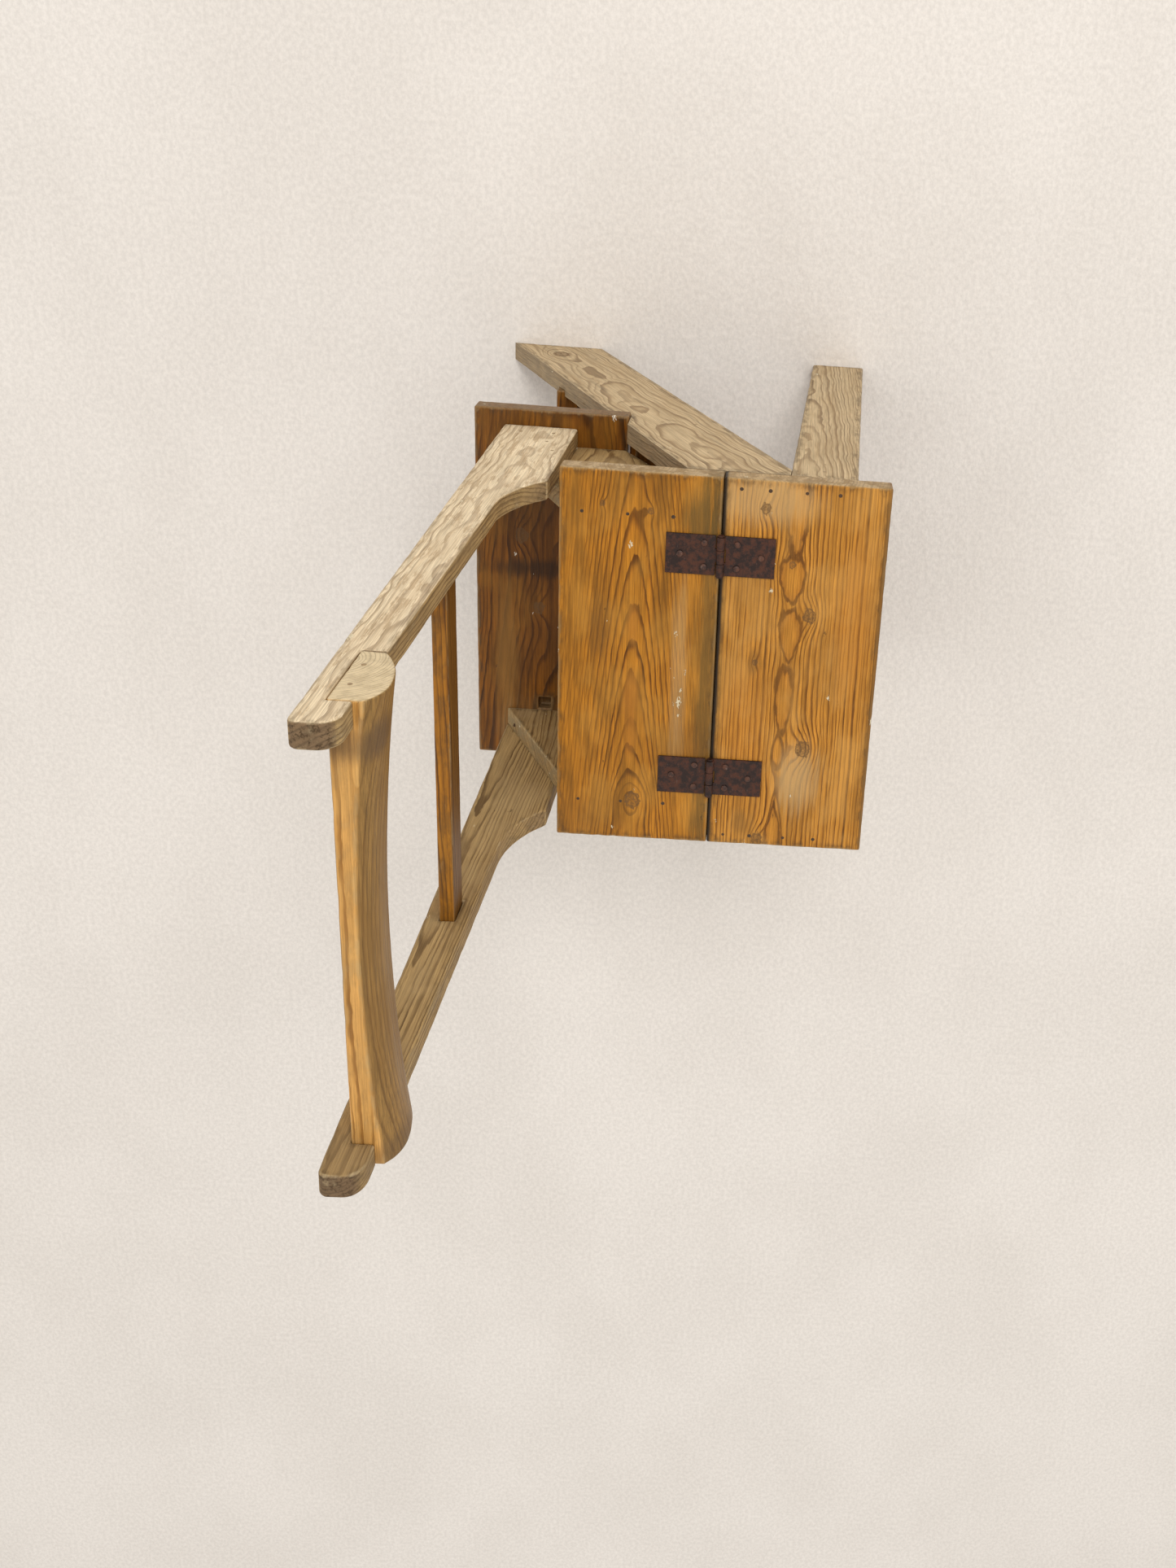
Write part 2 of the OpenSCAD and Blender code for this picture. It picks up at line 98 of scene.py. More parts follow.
class Graph:
    """Places shader nodes in one tree and joins their sockets."""

    def __init__(self, tree: bpy.types.NodeTree) -> None:
        """Keeps the tree that the nodes go into.

        Args:
            tree: A material's or a group's node tree.
        """
        self.tree = tree

    def add(self, kind: str, **settings: object) -> bpy.types.Node:
        """Adds one node.

        Args:
            kind: The node's type name, without its ShaderNode prefix.
            settings: Properties to set on the node.

        Returns:
            The new node.
        """
        node = self.tree.nodes.new("ShaderNode" + kind)
        for name, value in settings.items():
            setattr(node, name, value)
        return node

    def feed(self, socket: bpy.types.NodeSocket, value: object) -> None:
        """Joins an input to another node's output, or sets its own value.

        Args:
            socket: The input to feed.
            value: An output socket, a number, a vector or a colour.
        """
        if isinstance(value, bpy.types.NodeSocket):
            self.tree.links.new(value, socket)
        elif socket.type == "RGBA":
            socket.default_value = (*value, 1.0)
        else:
            socket.default_value = value

    def maths(self, operation: str, *values: object, clamp: bool = False) -> bpy.types.NodeSocket:
        """Returns the output of a Math node fed with values."""
        node = self.add("Math", operation=operation, use_clamp=clamp)
        for socket, value in zip(node.inputs, values):
            self.feed(socket, value)
        return node.outputs[0]

    def vector(self, operation: str, *values: object, out: str = "Vector") -> bpy.types.NodeSocket:
        """Returns one output of a Vector Math node fed with values."""
        node = self.add("VectorMath", operation=operation)
        for socket, value in zip(node.inputs, values):
            self.feed(socket, value)
        return node.outputs[out]

    def spread(self, value: object, low: float, high: float, first: float = 0.0,
               last: float = 1.0) -> bpy.types.NodeSocket:
        """Maps low..high smoothly onto first..last, and holds it outside.

        Args:
            value: The number to map.
            low: The value that gives first.
            high: The value that gives last.
            first: The result at low.
            last: The result at high.

        Returns:
            The mapped number.
        """
        node = self.add("MapRange", interpolation_type="SMOOTHSTEP")
        for name, number in zip(("Value", "From Min", "From Max", "To Min", "To Max"), (value, low, high, first, last)):
            self.feed(node.inputs[name], number)
        return node.outputs[0]

    def mix(self, share: object, first: object, second: object, blend: str = "MIX") -> bpy.types.NodeSocket:
        """Returns the colour between first and second, by share, in the given blend mode."""
        node = self.add("Mix", data_type="RGBA", blend_type=blend)
        self.feed(node.inputs[0], share)
        self.feed(node.inputs[6], first)
        self.feed(node.inputs[7], second)
        return node.outputs[2]

    def grey(self, value: bpy.types.NodeSocket) -> bpy.types.NodeSocket:
        """Returns a number as a grey colour."""
        node = self.add("CombineColor")
        for socket in node.inputs:
            self.feed(socket, value)
        return node.outputs[0]

    def total(self, first: object, *others: object) -> bpy.types.NodeSocket:
        """Returns the sum of some numbers."""
        result = first
        for other in others:
            result = self.maths("ADD", result, other)
        return result

    def scaled(self, vector: object, factor: object) -> bpy.types.NodeSocket:
        """Returns a vector times a number."""
        node = self.add("VectorMath", operation="SCALE")
        self.feed(node.inputs["Vector"], vector)
        self.feed(node.inputs["Scale"], factor)
        return node.outputs["Vector"]

    def joined(self, *parts: object) -> bpy.types.NodeSocket:
        """Returns a vector of three numbers."""
        node = self.add("CombineXYZ")
        for socket, part in zip(node.inputs, parts):
            self.feed(socket, part)
        return node.outputs[0]

    def split(self, vector: bpy.types.NodeSocket) -> list[bpy.types.NodeSocket]:
        """Returns the three parts of a vector."""
        node = self.add("SeparateXYZ")
        self.feed(node.inputs[0], vector)
        return list(node.outputs)

    def noise(self, vector: bpy.types.NodeSocket, stretch: Triple, detail: float = 2.0,
              roughness: float = 0.5) -> bpy.types.NodeSocket:
        """Returns noise whose features measure about stretch, in millimetres.

        Args:
            vector: The place, in millimetres.
            stretch: The features' size along each direction.
            detail: How many finer layers are added.
            roughness: How strong the finer layers are.

        Returns:
            A number about 0.5, from 0 to 1.
        """
        scaled = self.vector("MULTIPLY", vector, tuple(1.0 / s for s in stretch))
        node = self.add("TexNoise")
        self.feed(node.inputs["Vector"], scaled)
        self.feed(node.inputs["Scale"], 1.0)
        self.feed(node.inputs["Detail"], detail)
        self.feed(node.inputs["Roughness"], roughness)
        return node.outputs[0]

    def place(self, group: bpy.types.NodeTree, **inputs: object) -> bpy.types.bpy_prop_collection:
        """Places a node group and feeds its named inputs.

        Args:
            group: The shader node group.
            inputs: Values by socket name, with underscores for spaces.

        Returns:
            The group node's outputs.
        """
        node = self.add("Group", node_tree=group)
        for name, value in inputs.items():
            self.feed(node.inputs[name.replace("_", " ")], value)
        return node.outputs


class GroupLibrary:
    """Builds each shared effect once, as a shader node group with named inputs and outputs."""

    def _start(self, name: str, inputs: dict[str, str], outputs: dict[str, str]) -> tuple[
            Graph, dict[str, bpy.types.NodeSocket], bpy.types.Node]:
        """Makes an empty group.

        Args:
            name: The group's name.
            inputs: Socket types by input name.
            outputs: Socket types by output name.

        Returns:
            The group's graph, its inputs by name, and its output node.
        """
        tree = bpy.data.node_groups.new(name, "ShaderNodeTree")
        for label, kind in inputs.items():
            tree.interface.new_socket(label, in_out="INPUT", socket_type="NodeSocket" + kind)
        for label, kind in outputs.items():
            tree.interface.new_socket(label, in_out="OUTPUT", socket_type="NodeSocket" + kind)
        entry = tree.nodes.new("NodeGroupInput")
        leave = tree.nodes.new("NodeGroupOutput")
        return Graph(tree), {label: entry.outputs[label] for label in inputs}, leave

    @cache
    def sawn_figure(self) -> bpy.types.NodeTree:
        """Returns the rings of a log as a saw cut shows them, with their fibres and soft clouds."""
        g, given, leave = self._start(
            "sawn_figure",
            {"Vector": "Vector", "Pith": "Vector", "Spacing": "Float", "Taper": "Float", "Wave": "Float",
             "Wave Length": "Float", "Bend": "Float", "Seed": "Float"},
            {"Broad": "Float", "Line": "Float", "Fibre": "Float", "Cloud": "Float", "Patch": "Float"})
        there = g.vector("ADD", given["Vector"], g.scaled((37.0, 11.0, 5.0), given["Seed"]))
        along, across, out = g.split(given["Vector"])
        _, pith_across, pith_out = g.split(given["Pith"])
        square = [g.maths("POWER", g.maths("SUBTRACT", here, pith), 2.0)
                  for here, pith in ((across, pith_across), (out, pith_out))]
        reach = g.maths("SQRT", g.maths("ADD", *square))
        far_along, far_across, far_out = g.split(there)
        ripple = g.joined(g.maths("DIVIDE", far_along, given["Wave Length"]),
                          g.maths("MULTIPLY", far_across, 1 / 45), g.maths("MULTIPLY", far_out, 1 / 45))
        swing = g.maths("MULTIPLY", g.maths("SUBTRACT", g.noise(ripple, (1.0, 1.0, 1.0), 1.0), 0.5),
                        g.maths("MULTIPLY", given["Wave"], 4.0))
        jitter = g.maths("MULTIPLY", g.maths("SUBTRACT", g.noise(there, (26.0, 7.0, 7.0), 2.0), 0.5),
                         g.maths("MULTIPLY", given["Spacing"], 0.55))
        radius = g.total(reach, g.maths("MULTIPLY", along, given["Taper"]), swing, jitter, given["Bend"])
        turns = g.maths("DIVIDE", radius, given["Spacing"])
        pace = g.add("TexNoise", noise_dimensions="1D")
        g.feed(pace.inputs["W"], g.maths("ADD", g.maths("MULTIPLY", turns, 0.23), given["Seed"]))
        g.feed(pace.inputs["Scale"], 1.0)
        phase = g.maths("ADD", turns, g.maths("MULTIPLY", pace.outputs[0], 2.2))
        part = g.maths("FRACT", phase)
        year = g.add("TexWhiteNoise", noise_dimensions="1D")
        g.feed(year.inputs["W"], g.maths("FLOOR", phase))
        strength = g.spread(year.outputs["Value"], 0.0, 1.0, 0.5, 1.0)
        winter = g.maths("MULTIPLY", strength, g.spread(part, 0.93, 1.0, 1.0, 0.0))
        coarse = g.noise(there, (70.0, 1.1, 1.1), 2.0, 0.6)
        fine = g.noise(there, (18.0, 0.35, 0.35), 1.0, 0.6)
        g.feed(leave.inputs["Broad"], g.maths("MULTIPLY", g.spread(part, 0.25, 0.85), winter))
        g.feed(leave.inputs["Line"], g.maths("MULTIPLY", g.spread(part, 0.56, 0.84), winter))
        g.feed(leave.inputs["Fibre"], g.maths("ADD", g.maths("MULTIPLY", coarse, 0.6), g.maths("MULTIPLY", fine, 0.4)))
        soft = g.noise(there, (85.0, 26.0, 26.0), 4.0, 0.6)
        streaky = g.noise(there, (130.0, 4.0, 4.0), 3.0, 0.6)
        g.feed(leave.inputs["Cloud"], g.maths("ADD", g.maths("MULTIPLY", soft, 0.62), g.maths("MULTIPLY", streaky, 0.38)))
        g.feed(leave.inputs["Patch"], g.noise(g.vector("ADD", there, (400.0, 90.0, 0.0)), (60.0, 34.0, 34.0), 3.0, 0.55))
        return g.tree

    @cache
    def knot(self) -> bpy.types.NodeTree:
        """Returns one knot: it pushes the rings aside and adds its own dark eye."""
        g, given, leave = self._start(
            "knot",
            {"Vector": "Vector", "Centre": "Vector", "Size": "Float", "Bend In": "Float", "Eye In": "Float"},
            {"Bend": "Float", "Eye": "Float"})
        away = g.vector("MULTIPLY", g.vector("SUBTRACT", given["Vector"], given["Centre"]), (0.8, 1.0, 0.0))
        ragged = g.maths("MULTIPLY", g.maths("SUBTRACT", g.noise(given["Vector"], (3.5, 3.5, 3.5), 3.0), 0.5), 1.3)
        near = g.maths("DIVIDE", g.vector("LENGTH", away, out="Value"), given["Size"])
        far = g.maths("ADD", near, ragged)
        push = g.maths("EXPONENT", g.maths("MULTIPLY", g.maths("POWER", near, 2.0), -0.16))
        shove = g.maths("MULTIPLY", push, g.maths("MULTIPLY", given["Size"], -1.3))
        g.feed(leave.inputs["Bend"], g.maths("ADD", given["Bend In"], shove))
        heart = g.maths("MULTIPLY", g.spread(far, 0.5, 1.15, 1.0, 0.0),
                        g.spread(g.noise(given["Vector"], (1.8, 1.8, 1.8), 3.0, 0.7), 0.35, 0.6, 0.25, 0.8))
        rim = g.spread(g.maths("ABSOLUTE", g.maths("SUBTRACT", far, 0.95)), 0.06, 0.3, 0.75, 0.0)
        g.feed(leave.inputs["Eye"], g.maths("MAXIMUM", g.maths("MAXIMUM", heart, rim), given["Eye In"]))
        return g.tree

    @cache
    def island(self) -> bpy.types.NodeTree:
        """Returns one ring that the saw only grazed, which shows as a long closed drop."""
        g, given, leave = self._start(
            "island",
            {"Vector": "Vector", "Centre": "Vector", "Reach": "Vector", "Blunt": "Float", "Bend In": "Float",
             "Rim In": "Float", "Inside In": "Float", "Shade In": "Float"},
            {"Bend": "Float", "Rim": "Float", "Inside": "Float", "Shade": "Float"})
        away = g.vector("DIVIDE", g.vector("SUBTRACT", given["Vector"], given["Centre"]), given["Reach"])
        ahead, aside, _ = g.split(away)
        width = g.maths("MAXIMUM", g.maths("ADD", g.maths("MULTIPLY", ahead, given["Blunt"]), 1.0), 0.25)
        wobble = g.maths("MULTIPLY", g.maths("SUBTRACT", g.noise(given["Vector"], (13.0, 4.5, 4.5), 3.0), 0.5), 0.6)
        oval = g.maths("SQRT", g.maths("ADD", g.maths("POWER", ahead, 2.0),
                                       g.maths("POWER", g.maths("DIVIDE", aside, width), 2.0)))
        far = g.maths("ADD", oval, wobble)
        _, half_width, _ = g.split(given["Reach"])
        push = g.maths("EXPONENT", g.maths("MULTIPLY", g.maths("POWER", oval, 2.0), -0.8))
        g.feed(leave.inputs["Bend"], g.maths("SUBTRACT", given["Bend In"],
                                             g.maths("MULTIPLY", push, g.maths("MULTIPLY", half_width, 0.8))))
        line = g.maths("DIVIDE", 1.5, half_width)
        rim = g.spread(g.maths("DIVIDE", g.maths("ABSOLUTE", g.maths("SUBTRACT", far, 0.97)), line), 0.3, 1.2, 0.9, 0.0)
        inside = g.spread(far, 0.9, 1.0, 1.0, 0.0)
        shade = g.maths("MULTIPLY", inside, g.spread(far, 0.3, 0.95, 0.15, 0.95))
        for label, value in (("Rim", rim), ("Inside", inside), ("Shade", shade)):
            g.feed(leave.inputs[label], g.maths("MAXIMUM", value, given[label + " In"]))
        return g.tree

    @cache
    def stain(self) -> bpy.types.NodeTree:
        """Returns the mask of one soft, ragged patch or band on a board."""
        g, given, leave = self._start(
            "stain", {"Vector": "Vector", "Centre": "Vector", "Reach": "Vector", "Ragged": "Float"},
            {"Mask": "Float"})
        away = g.vector("DIVIDE", g.vector("SUBTRACT", given["Vector"], given["Centre"]), given["Reach"])
        rough = g.maths("MULTIPLY", g.maths("SUBTRACT", g.noise(given["Vector"], (70.0, 5.0, 5.0), 5.0, 0.65), 0.5),
                        given["Ragged"])
        far = g.maths("ADD", g.vector("LENGTH", away, out="Value"), rough)
        g.feed(leave.inputs["Mask"], g.spread(far, 0.3, 1.15, 1.0, 0.0))
        return g.tree

    @cache
    def flecks(self) -> bpy.types.NodeTree:
        """Returns scattered small flecks, long in the grain, thicker in some places than in others."""
        g, given, leave = self._start(
            "flecks", {"Vector": "Vector", "Cell": "Float", "Size": "Float", "Amount": "Float", "Seed": "Float"},
            {"Mask": "Float"})
        shift = g.vector("ADD", given["Vector"], g.scaled((13.0, 29.0, 7.0), given["Seed"]))
        wobble = g.noise(shift, (3.0, 1.2, 1.2), 3.0, 0.65)
        cells = g.add("TexVoronoi")
        g.feed(cells.inputs["Vector"], g.vector("DIVIDE", g.vector("MULTIPLY", shift, (0.5, 1.0, 1.0)), given["Cell"]))
        g.feed(cells.inputs["Scale"], 1.0)
        chance, width, _ = g.split(cells.outputs["Color"])
        size = g.maths("MULTIPLY", g.maths("MULTIPLY", g.maths("POWER", width, 2.0), given["Size"]),
                       g.spread(wobble, 0.35, 0.65, 0.0, 2.0))
        spot = g.maths("LESS_THAN", g.maths("MULTIPLY", cells.outputs["Distance"], given["Cell"]), size)
        cloud = g.noise(g.vector("ADD", shift, (90.0, 60.0, 150.0)), (60.0, 40.0, 40.0), 1.0)
        few = g.maths("LESS_THAN", chance, g.maths("MULTIPLY", given["Amount"], g.spread(cloud, 0.4, 0.62, 0.1, 1.6)))
        g.feed(leave.inputs["Mask"], g.maths("MULTIPLY", spot, few))
        return g.tree

    @cache
    def worn_edge(self) -> bpy.types.NodeTree:
        """Returns where an arris has been rubbed bare, from the board's own edge attribute."""
        g, given, leave = self._start(
            "worn_edge", {"Vector": "Vector", "Edge": "Float", "Amount": "Float"}, {"Rubbed": "Float", "Grime": "Float"})
        patchy = g.noise(given["Vector"], (22.0, 9.0, 9.0), 4.0, 0.65)
        near = g.maths("ADD", given["Edge"], g.maths("MULTIPLY", g.maths("SUBTRACT", patchy, 0.5), 0.9))
        g.feed(leave.inputs["Rubbed"], g.maths("MULTIPLY", g.spread(near, 0.66, 0.95), given["Amount"]))
        g.feed(leave.inputs["Grime"], g.maths("MULTIPLY", g.spread(near, 0.15, 0.75), g.spread(patchy, 0.42, 0.6)))
        return g.tree

    @cache
    def rust(self) -> bpy.types.NodeTree:
        """Returns pitted rust: blooms of colour, the pits' depth and the rubbed high spots."""
        g, given, leave = self._start("rust", {"Vector": "Vector"}, {"Bloom": "Float", "Pits": "Float", "Bare": "Float"})
        bloom = g.noise(given["Vector"], (7.0, 7.0, 7.0), 5.0, 0.7)
        pits = g.noise(given["Vector"], (1.1, 1.1, 1.1), 3.0, 0.7)
        scuff = g.noise(given["Vector"], (6.0, 2.0, 2.0), 4.0, 0.75)
        g.feed(leave.inputs["Bloom"], g.spread(bloom, 0.4, 0.62))
        g.feed(leave.inputs["Pits"], g.maths("ADD", g.maths("MULTIPLY", bloom, 0.7), g.maths("MULTIPLY", pits, 0.5)))
        g.feed(leave.inputs["Bare"], g.spread(scuff, 0.6, 0.7))
        return g.tree


# ---- finishes ------------------------------------------------------------------------------------


@dataclass(frozen=True)
class Knot:
    """A knot on a board's face: its place from the board's middle and its size, in millimetres."""

    along: float
    across: float
    size: float


@dataclass(frozen=True)
class Island:
    """A long closed ring on a board's face: its middle, its half size and which end is the blunter."""

    along: float
    across: float
    half_length: float
    half_width: float
    blunt: float = 0.4


@dataclass(frozen=True)
class ColourPatch:
    """A patch of another colour on a board: its middle, its half size and how strong it is."""

    along: float
    across: float
    reach_along: float
    reach_across: float
    colour: Colour
    strength: float = 0.7
    ragged: float = 1.2


@dataclass(frozen=True)
class Chips:
    """A place on a board with many flecks of old paint and splinters: its middle and its half size."""

    along: float
    across: float
    reach_along: float
    reach_across: float


@dataclass(frozen=True)
class Figure:
    """How a board was sawn from its log, in millimetres from the board's middle."""

    seed: float
    spacing: float = 3.4
    pith_across: float = 0.0
    pith_out: float = -45.0
    taper: float = 0.05
    wave: float = 2.0
    wave_length: float = 140.0
    fades_after: float = 0.0
    knots: tuple[Knot, ...] = ()
    islands: tuple[Island, ...] = ()
    stains: tuple[ColourPatch, ...] = ()
    # Patches laid over the wear: soiling, and on the seat boards painted shade along the seam.
    soils_and_shade: tuple[ColourPatch, ...] = ()
    chips: tuple[Chips, ...] = ()


@dataclass(frozen=True)
class PineFinish:
    """A pine surface: its colours in linear light, its wear and its relief."""

    early: Colour
    flame: Colour
    late: Colour
    cloud: Colour
    cloud_share: float
    patch: Colour
    patch_share: float
    end: Colour
    end_share: float
    rubbed: Colour
    rubbed_share: float
    grime_share: float
    outer: Colour | None = None
    outer_share: float = 0.95
    outer_grain: float = 0.8
    outer_mottle: float = 0.0
    speckle: float = 0.7
    fibre: float = 0.3
    roughness: float = 0.55
    coat: float = 0.0
    relief: float = 0.25
    pores: float = 0.12
    fleck_share: float = 0.0
    fleck: Colour = (0.75, 0.66, 0.46)
    knot: Colour = (0.13, 0.065, 0.022)
    grime: Colour = (0.055, 0.03, 0.012)

    def material(self, name: str, placing: "Placing", figure: Figure, groups: GroupLibrary) -> bpy.types.Material:
        """Builds the finish for one board.

        Args:
            name: The material's name.
            placing: Where the board's own axes lie.
            figure: How the board was sawn.
            groups: The shared effects.

        Returns:
            The material.
        """
        material = bpy.data.materials.new(name)
        material.use_nodes = True
        painter = PinePainter(self, placing, figure, groups, Graph(material.node_tree))
        shader = material.node_tree.nodes["Principled BSDF"]
        shader.inputs["Specular IOR Level"].default_value = 0.2
        shader.inputs["Coat Weight"].default_value = self.coat
        shader.inputs["Coat Roughness"].default_value = 0.35
        painter.paint(shader)
        return material


class PinePainter:
    """Lays one board's colour, gloss and relief, in the order in which a real board gets them."""

    def __init__(self, finish: PineFinish, placing: "Placing", figure: Figure, groups: GroupLibrary,
                 graph: Graph) -> None:
        """Finds the board's own coordinates and its rings.

        Args:
            finish: The surface's colours and wear.
            placing: Where the board's own axes lie.
            figure: How the board was sawn.
            groups: The shared effects.
            graph: The material's graph.
        """
        self.finish, self.placing, self.figure, self.groups, self.g = finish, placing, figure, groups, graph
        coordinates = graph.add("TexCoord")
        self.normal = coordinates.outputs["Normal"]
        place = graph.add("Mapping", vector_type="POINT")
        graph.feed(place.inputs["Vector"], coordinates.outputs["Object"])
        place.inputs["Scale"].default_value = (1 / MM,) * 3
        place.inputs["Rotation"].default_value = placing.turn.to_euler()
        place.inputs["Location"].default_value = -(placing.turn @ placing.centre) / MM
        self.here = place.outputs[0]
        self.line, self.broad, self.eye, self.rings = self._rings()
        fibre = graph.spread(self.rings["Fibre"], 0.3, 0.7, 1.0 - finish.fibre, 1.0 + finish.fibre * 0.6)
        self.streak = graph.grey(fibre)

    def paint(self, shader: bpy.types.Node) -> None:
        """Feeds the shader's colour, roughness and normal.

        Args:
            shader: The material's Principled BSDF.
        """
        g, finish = self.g, self.finish
        colour = self._clouds(self._grain(finish.early, finish.flame, finish.late))
        colour = self._outer_face(colour)
        colour = self._sawn_ends(colour)
        colour = self._overlaid(colour, self.figure.stains)
        colour = g.mix(self.eye, colour, finish.knot)
        wear = g.place(self.groups.worn_edge(), Vector=self.here, Amount=finish.rubbed_share,
                       Edge=g.add("Attribute", attribute_name="edge").outputs["Fac"])
        colour = g.mix(g.maths("MULTIPLY", wear["Grime"], finish.grime_share), colour, finish.grime)
        colour = g.mix(wear["Rubbed"], colour, g.mix(1.0, finish.rubbed, self.streak, "MULTIPLY"))
        # Soiling, and on the seat boards painted shade along the seam.
        colour = self._overlaid(colour, self.figure.soils_and_shade)
        pores, spots = self._marks()
        colour = g.mix(g.maths("MULTIPLY", pores, 0.6), colour, finish.grime)
        colour = g.mix(g.maths("MULTIPLY", spots, 0.8), colour, finish.fleck)
        g.feed(shader.inputs["Base Color"], colour)

        dull = g.spread(self.rings["Cloud"], 0.3, 0.7, finish.roughness - 0.1, finish.roughness + 0.08)
        uneven = g.maths("MULTIPLY", g.maths("SUBTRACT", self.rings["Fibre"], 0.5), 0.3)
        g.feed(shader.inputs["Roughness"], g.total(dull, uneven, g.maths("MULTIPLY", spots, 0.2)))
        ridges = g.maths("MULTIPLY", self.line, finish.relief)
        fibres = g.maths("MULTIPLY", self.rings["Fibre"], 0.35 + finish.relief * 0.6)
        raised = g.total(ridges, fibres, g.maths("MULTIPLY", spots, 0.5), g.maths("MULTIPLY", pores, -0.6))
        bump = g.add("Bump")
        bump.inputs["Strength"].default_value = 0.75
        bump.inputs["Distance"].default_value = 0.6 * MM
        g.feed(bump.inputs["Height"], raised)
        g.feed(shader.inputs["Normal"], bump.outputs[0])

    def _rings(self) -> tuple[bpy.types.NodeSocket, bpy.types.NodeSocket, object, bpy.types.bpy_prop_collection]:
        """Bends the rings round the knots and islands.

        Returns:
            The dark lines, the broad bands, the knots' eyes, and all the figure's outputs.
        """
        g, figure = self.g, self.figure
        bend: object = 0.0
        eye: object = 0.0
        rim: object = 0.0
        inside: object = 0.0
        shade: object = 0.0
        for knot in figure.knots:
            made = g.place(self.groups.knot(), Vector=self.here, Centre=(knot.along, knot.across, 0.0),
                           Size=knot.size, Bend_In=bend, Eye_In=eye)
            bend, eye = made["Bend"], made["Eye"]
        for island in figure.islands:
            made = g.place(self.groups.island(), Vector=self.here, Centre=(island.along, island.across, 0.0),
                           Reach=(island.half_length, island.half_width, 1000.0), Blunt=island.blunt,
                           Bend_In=bend, Rim_In=rim, Inside_In=inside, Shade_In=shade)
            bend, rim, inside, shade = (made[label] for label in ("Bend", "Rim", "Inside", "Shade"))
        rings = g.place(self.groups.sawn_figure(), Vector=self.here, Pith=(0.0, figure.pith_across, figure.pith_out),
                        Spacing=figure.spacing, Taper=figure.taper, Wave=figure.wave,
                        Wave_Length=figure.wave_length, Bend=bend, Seed=figure.seed)
        line, broad = rings["Line"], rings["Broad"]
        if figure.fades_after:
            _, across, _ = g.split(self.here)
            aside = g.maths("ABSOLUTE", g.maths("SUBTRACT", across, figure.pith_across))
            plain = g.spread(aside, figure.fades_after, figure.fades_after * 2.2, 1.0, 0.4)
            line, broad = g.maths("MULTIPLY", line, plain), g.maths("MULTIPLY", broad, plain)
        if figure.islands:
            clear = g.maths("SUBTRACT", 1.0, inside)
            line = g.maths("MAXIMUM", g.maths("MULTIPLY", line, clear), rim)
            broad = g.maths("MAXIMUM", g.maths("MULTIPLY", broad, clear), shade)
        return line, broad, eye, rings

    def _grain(self, early: Colour, flame: Colour, late: Colour, strength: float = 1.0) -> bpy.types.NodeSocket:
        """Returns the rings in three colours, streaked by the fibres."""
        g = self.g
        colour = g.mix(g.maths("MULTIPLY", self.broad, 0.75 * strength), early, flame)
        colour = g.mix(g.maths("MULTIPLY", self.line, strength), colour, late)
        return g.mix(1.0, colour, self.streak, "MULTIPLY")

    def _clouds(self, colour: bpy.types.NodeSocket) -> bpy.types.NodeSocket:
        """Returns the colour with soft dark clouds and paler patches over it."""
        g, finish = self.g, self.finish
        colour = g.mix(g.spread(self.rings["Patch"], 0.42, 0.66, 0.0, finish.patch_share), colour, finish.patch)
        return g.mix(g.spread(self.rings["Cloud"], 0.42, 0.68, 0.0, finish.cloud_share), colour, finish.cloud)

    def _outer_face(self, colour: bpy.types.NodeSocket) -> bpy.types.NodeSocket:
        """Returns the colour with the board's outer face in its own shade, where it has one."""
        g, outer = self.g, self.finish.outer
        if outer is None:
            return colour
        facing = g.vector("DOT_PRODUCT", self.normal, self.placing.out, out="Value")
        share = g.maths("MULTIPLY", g.spread(facing, 0.35, 0.75), self.finish.outer_share)
        shades = [tuple(part * depth for part, depth in zip(outer, depths))
                  for depths in ((0.62, 0.55, 0.48), (0.36, 0.30, 0.26))]
        face = self._grain(outer, *shades, strength=self.finish.outer_grain)
        face = g.mix(g.spread(self.rings["Cloud"], 0.44, 0.66, 0.0, 0.45), face, shades[0])
        if self.finish.outer_mottle:
            blots = g.spread(g.noise(self.here, (30.0, 8.0, 8.0), 6.0, 0.72), 0.5, 0.6, 0.0, self.finish.outer_mottle)
            face = g.mix(blots, face, g.mix(1.0, shades[0], self.streak, "MULTIPLY"))
        return g.mix(share, colour, face)

    def _sawn_ends(self, colour: bpy.types.NodeSocket) -> bpy.types.NodeSocket:
        """Returns the colour with speckled end grain on the sawn ends."""
        g, finish = self.g, self.finish
        facing = g.maths("ABSOLUTE", g.vector("DOT_PRODUCT", self.normal, self.placing.along, out="Value"))
        share = g.maths("MULTIPLY", g.spread(facing, 0.45, 0.85), finish.end_share)
        speckle = g.noise(self.here, (3.4, 3.4, 3.4), 4.0, 0.75)
        face = g.mix(g.maths("MULTIPLY", self.line, 0.5), finish.end, tuple(part * 0.4 for part in finish.end))
        face = g.mix(g.spread(speckle, 0.5, 0.6, 0.0, finish.speckle), face, finish.grime)
        return g.mix(share, colour, face)

    def _overlaid(self, colour: bpy.types.NodeSocket, stains: tuple[ColourPatch, ...]) -> bpy.types.NodeSocket:
        """Returns the colour with some patches over it: stains, soiling and, on the seat boards, painted shade along
        the seam.
        """
        for stain in stains:
            share = self.g.maths("MULTIPLY", self._mask(stain, stain.ragged), stain.strength)
            colour = self.g.mix(share, colour, stain.colour)
        return colour

    def _mask(self, area: ColourPatch | Chips, ragged: float) -> bpy.types.NodeSocket:
        """Returns where a patch lies on the board."""
        return self.g.place(self.groups.stain(), Vector=self.here, Centre=(area.along, area.across, 0.0),
                            Reach=(area.reach_along, area.reach_across, 1000.0), Ragged=ragged)["Mask"]

